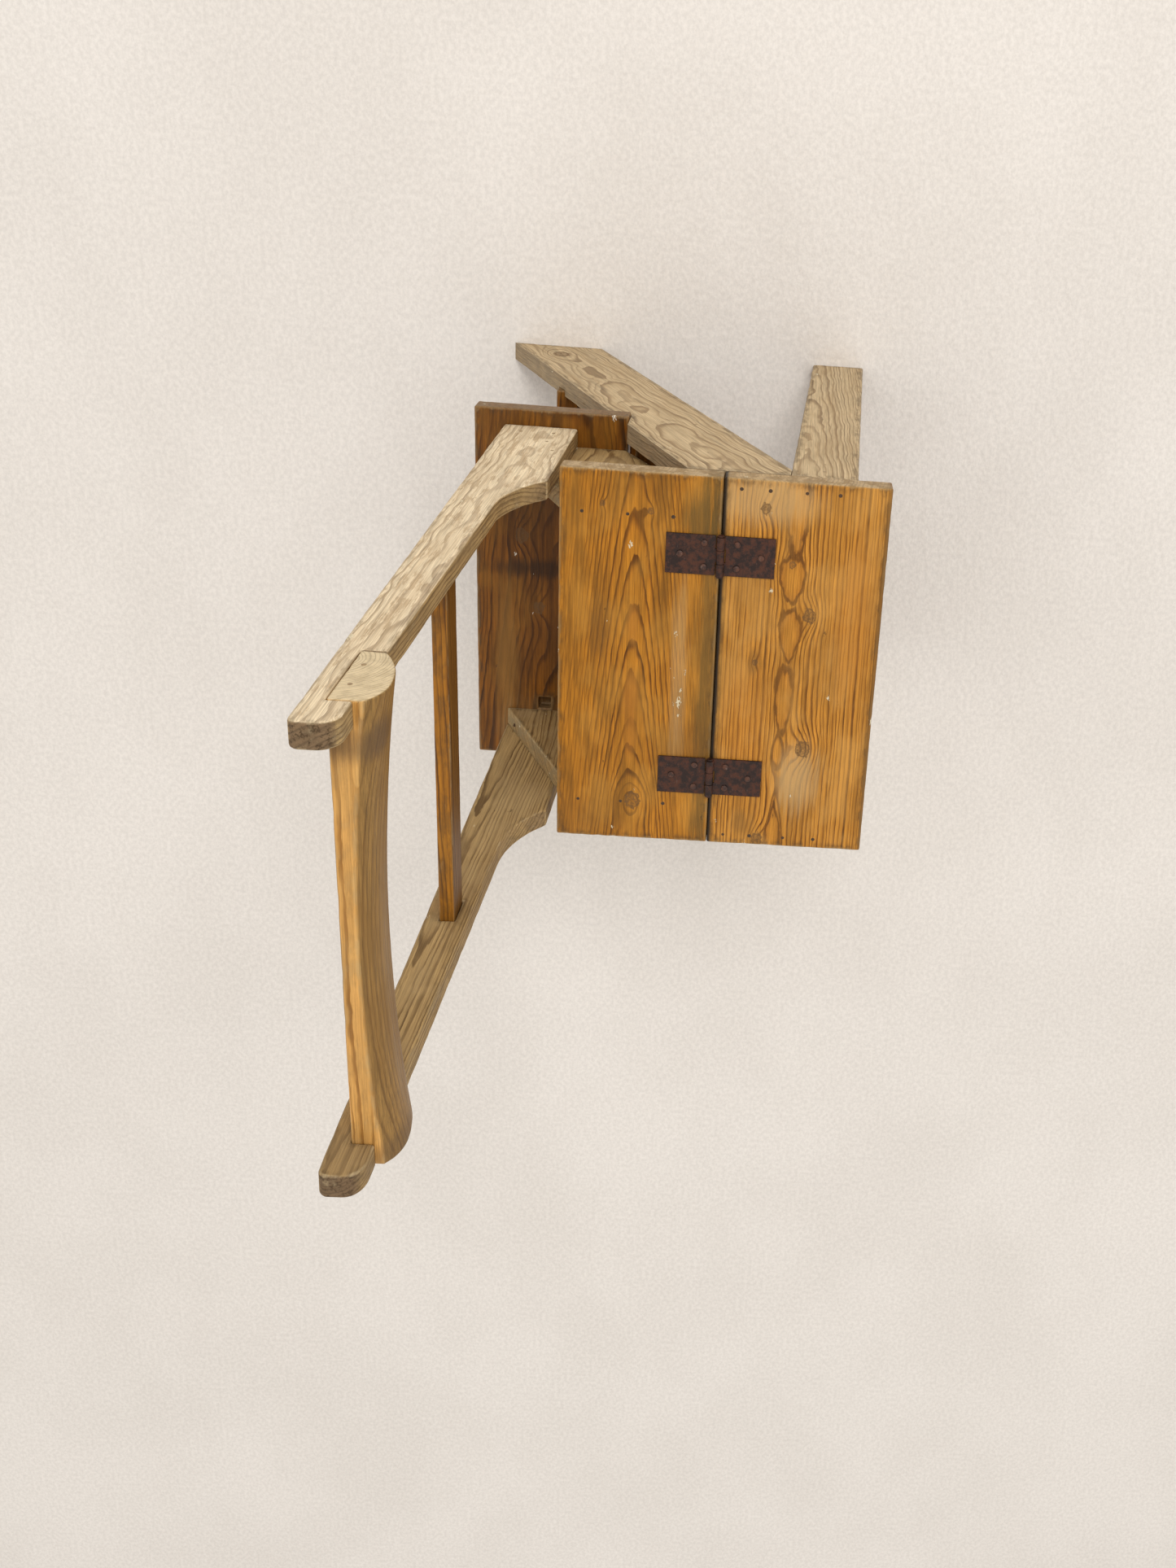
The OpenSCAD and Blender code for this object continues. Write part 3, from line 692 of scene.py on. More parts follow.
    def _marks(self) -> tuple[bpy.types.NodeSocket, bpy.types.NodeSocket]:
        """Returns the dark pores and the pale flecks."""
        g, seed = self.g, self.figure.seed
        amount: object = self.finish.fleck_share
        for chips in self.figure.chips:
            amount = g.maths("ADD", amount, g.maths("MULTIPLY", self._mask(chips, 0.8), 0.7))
        pores = g.place(self.groups.flecks(), Vector=self.here, Cell=9.0, Size=1.1, Amount=self.finish.pores,
                        Seed=seed + 4.0)["Mask"]
        spots = g.place(self.groups.flecks(), Vector=self.here, Cell=5.5, Size=2.0, Amount=amount,
                        Seed=seed + 9.0)["Mask"]
        return pores, spots


@dataclass(frozen=True)
class IronFinish:
    """Old iron: dark scale, rust blooms and rubbed high spots, in linear light, with painted shade in the sunk rings
    round the hinge nails.
    """

    scale: Colour
    bloom: Colour
    bare: Colour
    # Colour of the painted shade laid in the sunk ring round each hinge nail head.
    nail_ring_shade: Colour = (0.010, 0.006, 0.004)
    roughness: float = 0.5

    def material(self, name: str, groups: GroupLibrary) -> bpy.types.Material:
        """Builds the finish.

        Args:
            name: The material's name.
            groups: The shared effects.

        Returns:
            The material.
        """
        material = bpy.data.materials.new(name)
        material.use_nodes = True
        g = Graph(material.node_tree)
        shader = material.node_tree.nodes["Principled BSDF"]
        here = g.scaled(g.add("TexCoord").outputs["Object"], 1 / MM)
        rust = g.place(groups.rust(), Vector=here)
        bare = g.maths("MULTIPLY", rust["Bare"], 0.5)
        colour = g.mix(bare, g.mix(rust["Bloom"], self.scale, self.bloom), self.bare)
        # Painted shade: darkens the sunk rings round the hinge nails, as stored on the leaves; other iron pieces carry
        # no such attribute.
        nail_ring_shade = g.maths("MULTIPLY", g.add("Attribute", attribute_name="edge").outputs["Fac"], 0.95)
        g.feed(shader.inputs["Base Color"], g.mix(nail_ring_shade, colour, self.nail_ring_shade))
        g.feed(shader.inputs["Metallic"], bare)
        shader.inputs["Specular IOR Level"].default_value = 0.3
        g.feed(shader.inputs["Roughness"], g.spread(rust["Bloom"], 0.0, 1.0, self.roughness - 0.14, self.roughness + 0.2))
        bump = g.add("Bump")
        bump.inputs["Strength"].default_value = 0.8
        bump.inputs["Distance"].default_value = 0.4 * MM
        g.feed(bump.inputs["Height"], rust["Pits"])
        g.feed(shader.inputs["Normal"], bump.outputs[0])
        return material


WAXED_SEAT = PineFinish(
    early=(0.575, 0.243, 0.029), flame=(0.41, 0.145, 0.013), late=(0.125, 0.041, 0.004),
    cloud=(0.27, 0.113, 0.014), cloud_share=0.65, patch=(0.60, 0.31, 0.075), patch_share=0.45,
    end=(0.50, 0.37, 0.21), end_share=0.92, rubbed=(0.44, 0.27, 0.10), rubbed_share=0.5, grime_share=0.5,
    fibre=0.42, roughness=0.48, coat=0.03, relief=0.4, speckle=0.25, fleck_share=0.02)
REAR_SEAT = replace(
    WAXED_SEAT, early=(0.49, 0.190, 0.013), flame=(0.36, 0.118, 0.006), late=(0.10, 0.031, 0.002),
    patch=(0.52, 0.25, 0.04), cloud=(0.17, 0.070, 0.007), cloud_share=0.75)
DARK_STEP = PineFinish(
    early=(0.235, 0.082, 0.006), flame=(0.155, 0.05, 0.003), late=(0.06, 0.019, 0.001),
    cloud=(0.075, 0.025, 0.002), cloud_share=0.8, patch=(0.28, 0.12, 0.014), patch_share=0.5,
    end=(0.22, 0.12, 0.045), end_share=0.85, rubbed=(0.34, 0.21, 0.09), rubbed_share=0.5, grime_share=0.6,
    fibre=0.4, roughness=0.45, coat=0.05, relief=0.3, fleck_share=0.03, fleck=(0.80, 0.74, 0.62))
BARE_FRAME = PineFinish(
    early=(0.42, 0.27, 0.11), flame=(0.32, 0.19, 0.07), late=(0.18, 0.10, 0.035),
    cloud=(0.22, 0.13, 0.05), cloud_share=0.65, patch=(0.48, 0.34, 0.17), patch_share=0.5,
    end=(0.30, 0.2, 0.1), end_share=0.6, rubbed=(0.5, 0.38, 0.2), rubbed_share=0.4, grime_share=0.6,
    roughness=0.66, relief=0.4, fleck_share=0.04)
BLEACHED = PineFinish(
    early=(0.42, 0.275, 0.115), flame=(0.31, 0.19, 0.07), late=(0.16, 0.092, 0.034),
    cloud=(0.24, 0.15, 0.065), cloud_share=0.55, patch=(0.46, 0.32, 0.15), patch_share=0.4,
    end=(0.20, 0.125, 0.065), end_share=0.97, rubbed=(0.58, 0.44, 0.25), rubbed_share=0.5, grime_share=0.3,
    outer=(0.84, 0.69, 0.47), outer_grain=0.55, outer_mottle=0.75, fibre=0.35, roughness=0.68, relief=0.6, speckle=0.85,
    fleck_share=0.01)
GREYED = PineFinish(
    early=(0.30, 0.185, 0.078), flame=(0.22, 0.13, 0.05), late=(0.12, 0.066, 0.025),
    cloud=(0.15, 0.085, 0.034), cloud_share=0.6, patch=(0.36, 0.25, 0.12), patch_share=0.4,
    end=(0.3, 0.2, 0.1), end_share=0.6, rubbed=(0.46, 0.36, 0.23), rubbed_share=0.5, grime_share=0.5,
    outer=(0.60, 0.455, 0.27), outer_grain=0.62, fibre=0.38, roughness=0.72, relief=0.55, fleck_share=0.03)
CREST_WAX = PineFinish(
    early=(0.66, 0.345, 0.095), flame=(0.54, 0.255, 0.055), late=(0.30, 0.13, 0.025),
    cloud=(0.45, 0.22, 0.055), cloud_share=0.35, patch=(0.68, 0.40, 0.13), patch_share=0.3,
    end=(0.72, 0.58, 0.36), end_share=0.97, rubbed=(0.50, 0.36, 0.17), rubbed_share=0.35, grime_share=0.15,
    outer=(0.28, 0.155, 0.042), outer_grain=0.5, fibre=0.35, roughness=0.5, coat=0.03, relief=0.3,
    speckle=0.05, pores=0.04, fleck_share=0.005)
RAIL_WAX = PineFinish(
    early=(0.37, 0.145, 0.012), flame=(0.28, 0.10, 0.008), late=(0.11, 0.038, 0.004),
    cloud=(0.18, 0.07, 0.008), cloud_share=0.5, patch=(0.42, 0.19, 0.026), patch_share=0.4,
    end=(0.4, 0.28, 0.14), end_share=0.9, rubbed=(0.45, 0.28, 0.11), rubbed_share=0.45, grime_share=0.4,
    outer=(0.155, 0.068, 0.011), roughness=0.45, coat=0.05, relief=0.3, fleck_share=0.01)
HINGE_RUST = IronFinish(scale=(0.022, 0.010, 0.007), bloom=(0.078, 0.027, 0.014), bare=(0.18, 0.11, 0.09))
HINGE_NAIL = IronFinish(scale=(0.045, 0.022, 0.016), bloom=(0.11, 0.045, 0.026), bare=(0.32, 0.24, 0.20))
NAIL_IRON = IronFinish(scale=(0.045, 0.027, 0.014), bloom=(0.09, 0.045, 0.02), bare=(0.16, 0.12, 0.08))
NAIL_STAINED = IronFinish(scale=(0.27, 0.18, 0.095), bloom=(0.37, 0.26, 0.14), bare=(0.42, 0.34, 0.22))


# ---- boards --------------------------------------------------------------------------------------


@dataclass(frozen=True)
class Placing:
    """A board's own axes in the chair: its middle and the directions along, across and out of its face."""

    centre: Vector
    along: Vector
    across: Vector
    out: Vector

    @property
    def turn(self) -> Matrix:
        """The turn from the chair's axes to the board's."""
        return Matrix((self.along, self.across, self.out))

    @classmethod
    def of(cls, node: str, lie: Lie, rake: float = 0.0) -> "Placing":
        """Places a CAD node's board.

        Args:
            node: The node's name.
            lie: How the board lies.
            rake: The board's lean backwards towards its foot, in radians.

        Returns:
            The placing.
        """
        low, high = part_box(node)
        lean = Matrix.Rotation(rake, 3, "X")
        return cls((low + high) / 2, *(lean @ Vector(v) for v in lie.value))


@dataclass(frozen=True)
class NailLine:
    """The straight line that one nail takes."""

    start: Vector
    end: Vector

    def distance(self, point: Vector) -> float:
        """Returns how far a point lies from the line, or a large number beyond its ends."""
        run = self.end - self.start
        share = (point - self.start).dot(run) / run.length_squared
        if share < -0.1 or share > 1.1:
            return 1.0
        return (point - self.start - run * share).length

    @classmethod
    def all_of(cls, nodes: list[str]) -> list["NailLine"]:
        """Finds every nail in some CAD nodes.

        Args:
            nodes: The names of the nail nodes.

        Returns:
            One line for each nail.
        """
        lines = []
        for node in nodes:
            bm = bmesh.new()
            bm.from_mesh(frame["nodes"][node].data)
            bmesh.ops.remove_doubles(bm, verts=bm.verts, dist=0.005 * MM)
            left = set(bm.verts)
            while left:
                island = cls._island(left.pop())
                left -= island
                low = Vector(min(v.co[i] for v in island) for i in range(3))
                high = Vector(max(v.co[i] for v in island) for i in range(3))
                size = high - low
                axis = max(range(3), key=lambda i: size[i])
                start, end = (low + high) / 2, (low + high) / 2
                start[axis], end[axis] = low[axis], high[axis]
                lines.append(cls(start, end))
            bm.free()
        return lines

    @staticmethod
    def _island(first: bmesh.types.BMVert) -> set[bmesh.types.BMVert]:
        """Returns every vertex joined to the first by edges."""
        island, edge_of = {first}, [first]
        while edge_of:
            vertex = edge_of.pop()
            for edge in vertex.link_edges:
                other = edge.other_vert(vertex)
                if other not in island:
                    island.add(other)
                    edge_of.append(other)
        return island


@dataclass
class Board:
    """One wooden board, milled from a copy of its CAD solid.

    A seam_side of 1 or -1 says on which side, along Y, the board meets the hinged seam. That face stays true.
    """

    node: str
    body: BodyName
    lie: Lie
    finish: PineFinish
    figure: Figure
    rake: float = 0.0
    arris: float = 1.6
    wear: float = 0.5
    grid: float = 6.0
    flat: float = 0.6
    edge_reach: float = 9.0
    hole_reach: float = 2.5
    fold: float = math.radians(25)
    seam_side: float = 0.0
    seam_swell: float = 0.2

    def build(self, nails: list[NailLine], groups: GroupLibrary, slot: str) -> bpy.types.Object:
        """Args:
            nails: The lines of the chair's nails.
            groups: The shared effects.
            slot: The record's material slot; not used.

        Returns:
            The board's object.
        """
        placing = Placing.of(self.node, self.lie, self.rake)
        bm = bmesh.new()
        bm.from_mesh(frame["nodes"][self.node].data)
        bmesh.ops.remove_doubles(bm, verts=bm.verts, dist=0.005 * MM)
        self._plug_holes(bm, nails)
        bmesh.ops.dissolve_limit(bm, angle_limit=math.radians(self.flat), verts=bm.verts, edges=bm.edges)
        tree = self._wear_arrises(bm)
        cut_grid(bm, (placing.along, placing.across), self.grid)
        self._weather(bm, tree, placing)
        mesh = bpy.data.meshes.new(self.node + "_wood")
        bm.to_mesh(mesh)
        bm.free()
        mesh.materials.append(self.finish.material(self.node + "_pine", placing, self.figure, groups))
        piece = finish_piece(self.node + "_wood", mesh)
        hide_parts(self.node)
        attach(piece, self.body.value)
        return piece

    def _plug_holes(self, bm: bmesh.types.BMesh, nails: list[NailLine]) -> None:
        """Closes each nail hole by drawing its rim together, as the driven nail closes it.

        Args:
            bm: The board's mesh.
            nails: The lines of the chair's nails.
        """
        welds = {}
        for nail in nails:
            hole = {v for v in bm.verts if nail.distance(v.co) < self.hole_reach * MM}
            rims = [v for v in hole if any(e.other_vert(v) not in hole for e in v.link_edges)]
            if not rims:
                continue
            run = (nail.end - nail.start).normalized()
            rims.sort(key=lambda v: v.co.dot(run))
            mouths = [[rims[0]]]
            for vertex in rims[1:]:
                if (vertex.co - mouths[-1][-1].co).dot(run) > 4 * MM:
                    mouths.append([])
                mouths[-1].append(vertex)
            for mouth in mouths:
                mouth[0].co = sum((v.co for v in mouth), Vector()) / len(mouth)
            for vertex in hole:
                mouth = min(mouths, key=lambda m: abs((vertex.co - m[0].co).dot(run)))
                if vertex is not mouth[0]:
                    welds[vertex] = mouth[0]
        bmesh.ops.weld_verts(bm, targetmap=welds)
        loose = [e for e in bm.edges if not e.link_faces]
        bmesh.ops.delete(bm, geom=loose, context="EDGES")

    def _wear_arrises(self, bm: bmesh.types.BMesh) -> kdtree.KDTree:
        """Rounds the board's arrises.

        Args:
            bm: The board's mesh.

        Returns:
            Points along the arrises, to measure wear from.
        """
        arrises = [e for e in bm.edges if len(e.link_faces) == 2 and e.calc_face_angle(0.0) > self.fold]
        points = []
        for edge in arrises:
            start, end = (v.co for v in edge.verts)
            steps = max(1, int(edge.calc_length() / (2 * MM)))
            points += [start.lerp(end, i / steps) for i in range(steps + 1)]
        tree = kdtree.KDTree(len(points))
        for i, point in enumerate(points):
            tree.insert(point, i)
        tree.balance()
        bmesh.ops.bevel(bm, geom=arrises, offset=self.arris * MM, offset_type="OFFSET", segments=3, profile=0.5,
                        affect="EDGES", clamp_overlap=True, material=-1)
        return tree

    def _weather(self, bm: bmesh.types.BMesh, tree: kdtree.KDTree, placing: Placing) -> None:
        """Leaves the faces a little uneven and the arrises nibbled, and stores how near each point is to one.

        Args:
            bm: The board's mesh.
            tree: Points along the arrises.
            placing: The board's axes.
        """
        layer = bm.verts.layers.float.new("edge")
        bm.normal_update()
        drift = Vector((self.figure.seed * 3.1, 0.0, 0.0))
        moves = []
        for vertex in bm.verts:
            _, _, away = tree.find(vertex.co)
            near = max(0.0, 1.0 - away / (self.edge_reach * MM))
            vertex[layer] = near
            place = placing.turn @ vertex.co / MM + drift
            broad = noise.noise(Vector((place.x / 70, place.y / 30, place.z / 30)))
            bite = max(0.0, noise.noise(Vector((place.x / 13, place.y / 8, place.z / 8))))
            depth = 0.18 * broad + 1.3 * near * near * bite
            if vertex.normal.y * self.seam_side > 0.7:
                moves.append((vertex, Vector((0, self.seam_side * self.seam_swell * MM, 0))))
            else:
                moves.append((vertex, vertex.normal * (-depth * self.wear * MM)))
        for vertex, move in moves:
            vertex.co += move


def cut_grid(bm: bmesh.types.BMesh, directions: tuple[Vector, ...], step: float) -> None:
    """Cuts a mesh's faces into a fine grid.

    Args:
        bm: The mesh.
        directions: The directions to step along.
        step: The grid's step, in millimetres.
    """
    for direction in directions:
        reach = [v.co.dot(direction) for v in bm.verts]
        low, high = min(reach), max(reach)
        count = max(1, int((high - low) / (step * MM)))
        for i in range(1, count):
            bmesh.ops.bisect_plane(bm, geom=bm.verts[:] + bm.edges[:] + bm.faces[:], dist=0.01 * MM,
                                   plane_co=direction * (low + (high - low) * i / count), plane_no=direction)


def finish_piece(name: str, mesh: bpy.types.Mesh) -> bpy.types.Object:
    """Links a finished mesh as a smooth-shaded object at the origin.

    Args:
        name: The piece's name.
        mesh: Its mesh, in place.

    Returns:
        The new object.
    """
    for face in mesh.polygons:
        face.use_smooth = True
    mesh.set_sharp_from_angle(angle=math.radians(40))
    piece = bpy.data.objects.new(name, mesh)
    bpy.context.scene.collection.objects.link(piece)
    weigh = piece.modifiers.new("even_shading", "WEIGHTED_NORMAL")
    weigh.keep_sharp = True
    LOG.info("%s: %d faces", name, len(mesh.polygons))
    return piece


# ---- sub-assemblies ------------------------------------------------------------------------------


@dataclass
class SubAssembly:
    """A named part of the chair, made of boards."""

    boards: list[Board] = field(default_factory=list)

    def build(self, nails: list[NailLine], groups: GroupLibrary, slots: dict[str, str]) -> None:
        """Builds every board.

        Args:
            nails: The lines of the chair's nails.
            groups: The shared effects.
            slots: Material slots by node.
        """
        for board in self.boards:
            board.build(nails, groups, slots[board.node])


@dataclass
class Seat(SubAssembly):
    """The two seat boards, one on each side of the hinged seam, with painted shade along the seam edges."""

    olive: Colour = (0.105, 0.066, 0.016)
    umber: Colour = (0.15, 0.066, 0.012)
    amber: Colour = (0.45, 0.165, 0.018)
    beige: Colour = (0.52, 0.34, 0.15)
    # Near-black painted shade for the seam edges, standing in for the shadow in the narrow gap between the boards.
    seam_shade: Colour = (0.010, 0.006, 0.004)

    def __post_init__(self) -> None:
        """Lists the boards."""
        rear = Figure(
            seed=3.0, spacing=3.6, pith_across=4.0, pith_out=-8.0, taper=0.092, wave=0.7, wave_length=170.0,
            fades_after=24.0,
            knots=(Knot(153, -9, 2.5), Knot(-147, 0, 6.5), Knot(158, 34, 2.0)),
            stains=(ColourPatch(0, -66, 400, 11, self.olive, 0.6, 2.6), ColourPatch(150, -56, 34, 22, self.olive, 0.7, 2.0),
                    ColourPatch(34, 36, 40, 15, self.umber, 0.55), ColourPatch(-92, -50, 44, 26, self.umber, 0.45),
                    ColourPatch(-36, 4, 36, 9, self.amber, 0.55), ColourPatch(40, 4, 26, 7, self.amber, 0.45),
                    ColourPatch(-78, 4, 26, 7, self.amber, 0.4), ColourPatch(-10, -40, 120, 10, self.beige, 0.35),
                    ColourPatch(-176, 60, 40, 40, self.umber, 0.3)),
            # Painted shade: a near-black strip along the rear board's seam edge.
            soils_and_shade=(ColourPatch(0, -75.4, 900, 3.4, self.seam_shade, 0.95, 0.25),),
            chips=(Chips(-10, -43, 60, 7), Chips(-30, 24, 12, 5), Chips(-5, -36, 70, 4)))
        front = Figure(
            seed=8.0, spacing=3.6, pith_across=9.0, pith_out=-8.0, taper=0.004, wave=0.9, wave_length=160.0,
            knots=(Knot(163, 37, 4.0), Knot(110, 10, 2.6), Knot(60, -9, 5.5), Knot(-80, -12, 6.5),
                   Knot(-183, 27, 5.0), Knot(9, 39, 2.2)),
            islands=(Island(168, 8, 50, 10.0, 0.1), Island(94, 9, 24, 11.0), Island(38, 8, 27, 9.5, 0.5),
                     Island(-30, 10, 36, 8.0, 0.3), Island(-84, 12, 18, 5.5, -0.3),
                     Island(-174, 12, 30, 7.0, -0.5)),
            stains=(ColourPatch(0, 74, 400, 6, self.olive, 0.35, 1.8), ColourPatch(0, -78, 400, 12, self.umber, 0.4, 1.6),
                    ColourPatch(172, 40, 30, 60, self.beige, 0.55), ColourPatch(-112, -8, 46, 26, self.beige, 0.6),
                    ColourPatch(-60, 45, 90, 26, self.amber, 0.3), ColourPatch(60, -50, 110, 22, self.amber, 0.35),
                    ColourPatch(9, 40, 16, 8, self.umber, 0.5), ColourPatch(-165, 44, 16, 10, self.umber, 0.4)),
            # The first is painted shade along the front board's seam edge; the second darkens the board's other long
            # edge.
            soils_and_shade=(ColourPatch(0, 75.4, 900, 3.4, self.seam_shade, 0.95, 0.25), ColourPatch(0, -76, 400, 5, self.umber, 0.6, 1.0)),
            chips=(Chips(130, 30, 50, 5), Chips(-188, 45, 8, 20), Chips(-100, 46, 10, 16), Chips(70, 28, 60, 4)))
        self.boards = [
            Board("seat_rear_board", BodyName.TURNING, Lie.SEAT, REAR_SEAT, rear, arris=1.8, wear=0.8, grid=5.0,
                  seam_side=-1.0),
            Board("seat_front_board", BodyName.STANDING, Lie.SEAT, WAXED_SEAT, front, arris=1.8, wear=0.8, grid=5.0,
                  seam_side=1.0),
        ]


@dataclass
class TurningSection(SubAssembly):
    """The cheeks and the step under the rear seat board."""

    black: Colour = (0.03, 0.012, 0.003)
    amber: Colour = (0.26, 0.125, 0.026)
    dust: Colour = (0.30, 0.21, 0.11)

    def __post_init__(self) -> None:
        """Lists the boards."""
        step = Figure(
            seed=21.0, spacing=5.0, pith_across=-20.0, pith_out=-40.0, taper=0.07, wave=4.0, wave_length=110.0,
            knots=(Knot(60, 30, 6), Knot(-20, 12, 5)),
            stains=(ColourPatch(24, 0, 13, 90, self.black, 0.75, 1.9), ColourPatch(110, 10, 60, 60, self.black, 0.35),
                    ColourPatch(-70, -24, 80, 34, self.black, 0.45), ColourPatch(-90, 46, 120, 15, self.amber, 0.6),
                    ColourPatch(-160, 10, 40, 50, self.dust, 0.3)),
            chips=(Chips(0, -6, 7, 5), Chips(-40, -8, 5, 4), Chips(-122, -38, 7, 9)))
        self.boards = [Board("turning_step", BodyName.TURNING, Lie.SEAT, DARK_STEP, step, arris=1.8)]
        for side, lie, seed in (("left", Lie.LEFT_SIDE, 31.0), ("right", Lie.RIGHT_SIDE, 37.0)):
            self.boards.append(Board("cheek_" + side, BodyName.TURNING, lie, BARE_FRAME,
                                     Figure(seed=seed, spacing=4.0, pith_out=-30.0, wave=3.0)))


@dataclass
class ChairBack(SubAssembly):
    """The uprights, the crest rail and the slim back rail."""

    umber: Colour = (0.11, 0.062, 0.028)
    tea: Colour = (0.27, 0.17, 0.085)
    moss: Colour = (0.42, 0.46, 0.17)

    def __post_init__(self) -> None:
        """Lists the boards."""
        tip = ColourPatch(318, 0, 12, 60, self.umber, 0.6)
        blots = tuple(ColourPatch(along, across, long, wide, self.tea, 0.42, 2.6)
                      for along, across, long, wide in ((70, -8, 16, 9), (120, -14, 20, 5), (165, -6, 26, 6),
                                                        (225, -10, 22, 6), (18, 2, 24, 6), (-40, 8, 30, 5)))
        left = Figure(seed=41.0, spacing=3.4, pith_across=-6.0, pith_out=-40.0, taper=0.012, wave=1.7,
                      wave_length=44.0, knots=(Knot(-175, 6, 11), Knot(-120, -14, 5)),
                      stains=(tip, *blots, ColourPatch(30, -2, 7, 4, self.moss, 0.6), ColourPatch(46, -9, 8, 3, self.moss, 0.5)))
        right = Figure(seed=47.0, spacing=2.8, pith_across=26.0, pith_out=-30.0, taper=0.02, wave=1.0,
                       wave_length=120.0, stains=(ColourPatch(300, 0, 46, 60, self.umber, 0.25),),
                       soils_and_shade=(ColourPatch(330, 0, 14, 90, self.umber, 0.85, 0.5),))
        crest = Figure(seed=53.0, spacing=2.3, pith_across=-20.0, pith_out=-26.0, taper=0.004, wave=0.5,
                       wave_length=200.0, stains=(ColourPatch(146, 20, 16, 30, self.umber, 0.7),
                                                  ColourPatch(-172, 20, 16, 30, self.umber, 0.45)))
        back = Figure(seed=59.0, spacing=3.6, pith_across=20.0, pith_out=-12.0, taper=0.02)
        self.boards = [
            Board("upright_left", BodyName.TURNING, Lie.LEFT_SIDE, BLEACHED, left, arris=3.4, wear=0.9,
                  edge_reach=6.0),
            Board("upright_right", BodyName.TURNING, Lie.RIGHT_SIDE, BLEACHED, right, arris=3.4, wear=0.9,
                  edge_reach=6.0),
            Board("crest_rail", BodyName.TURNING, Lie.RAIL, CREST_WAX, crest, arris=2.0, wear=0.7, grid=5.0, flat=0.1,
                  edge_reach=6.0),
            Board("back_rail", BodyName.TURNING, Lie.RAIL, RAIL_WAX, back, arris=1.5, edge_reach=3.5),
        ]


@dataclass
class SideFrames(SubAssembly):
    """The raking stringers, the front legs, the treads and the apron."""

    rake: float = math.radians(29.2)

    def __post_init__(self) -> None:
        """Lists the boards."""
        self.boards = []
        for side, lie, seed in (("left", Lie.LEFT_SIDE, 61.0), ("right", Lie.RIGHT_SIDE, 67.0)):
            stringer = Figure(seed=seed, spacing=2.5, pith_across=4.0, pith_out=-44.0, taper=0.03, wave=2.4,
                              wave_length=52.0, knots=(Knot(120, -6, 8), Knot(-130, 6, 8)))
            leg = Figure(seed=seed + 3.0, spacing=2.6, pith_across=24.0, pith_out=-30.0, taper=0.02, wave=1.2,
                         wave_length=46.0)
            self.boards += [
                Board("stringer_" + side, BodyName.STANDING, lie, GREYED, stringer, rake=self.rake, arris=2.0,
                      wear=0.8),
                Board("front_leg_" + side, BodyName.STANDING, lie, GREYED, leg, arris=2.0, wear=0.8),
            ]
        for i, node in enumerate(("lower_tread", "middle_tread")):
            tread = Figure(seed=71.0 + 6.0 * i, spacing=4.6, pith_across=12.0, pith_out=-35.0, taper=0.06,
                           wave=3.0, knots=(Knot(-60 + 90 * i, 10, 6),))
            self.boards.append(Board(node, BodyName.STANDING, Lie.SEAT, DARK_STEP, tread))
        apron = Figure(seed=83.0, spacing=4.0, pith_across=-8.0, pith_out=-28.0)
        self.boards.append(Board("front_apron", BodyName.STANDING, Lie.RAIL, BARE_FRAME, apron))


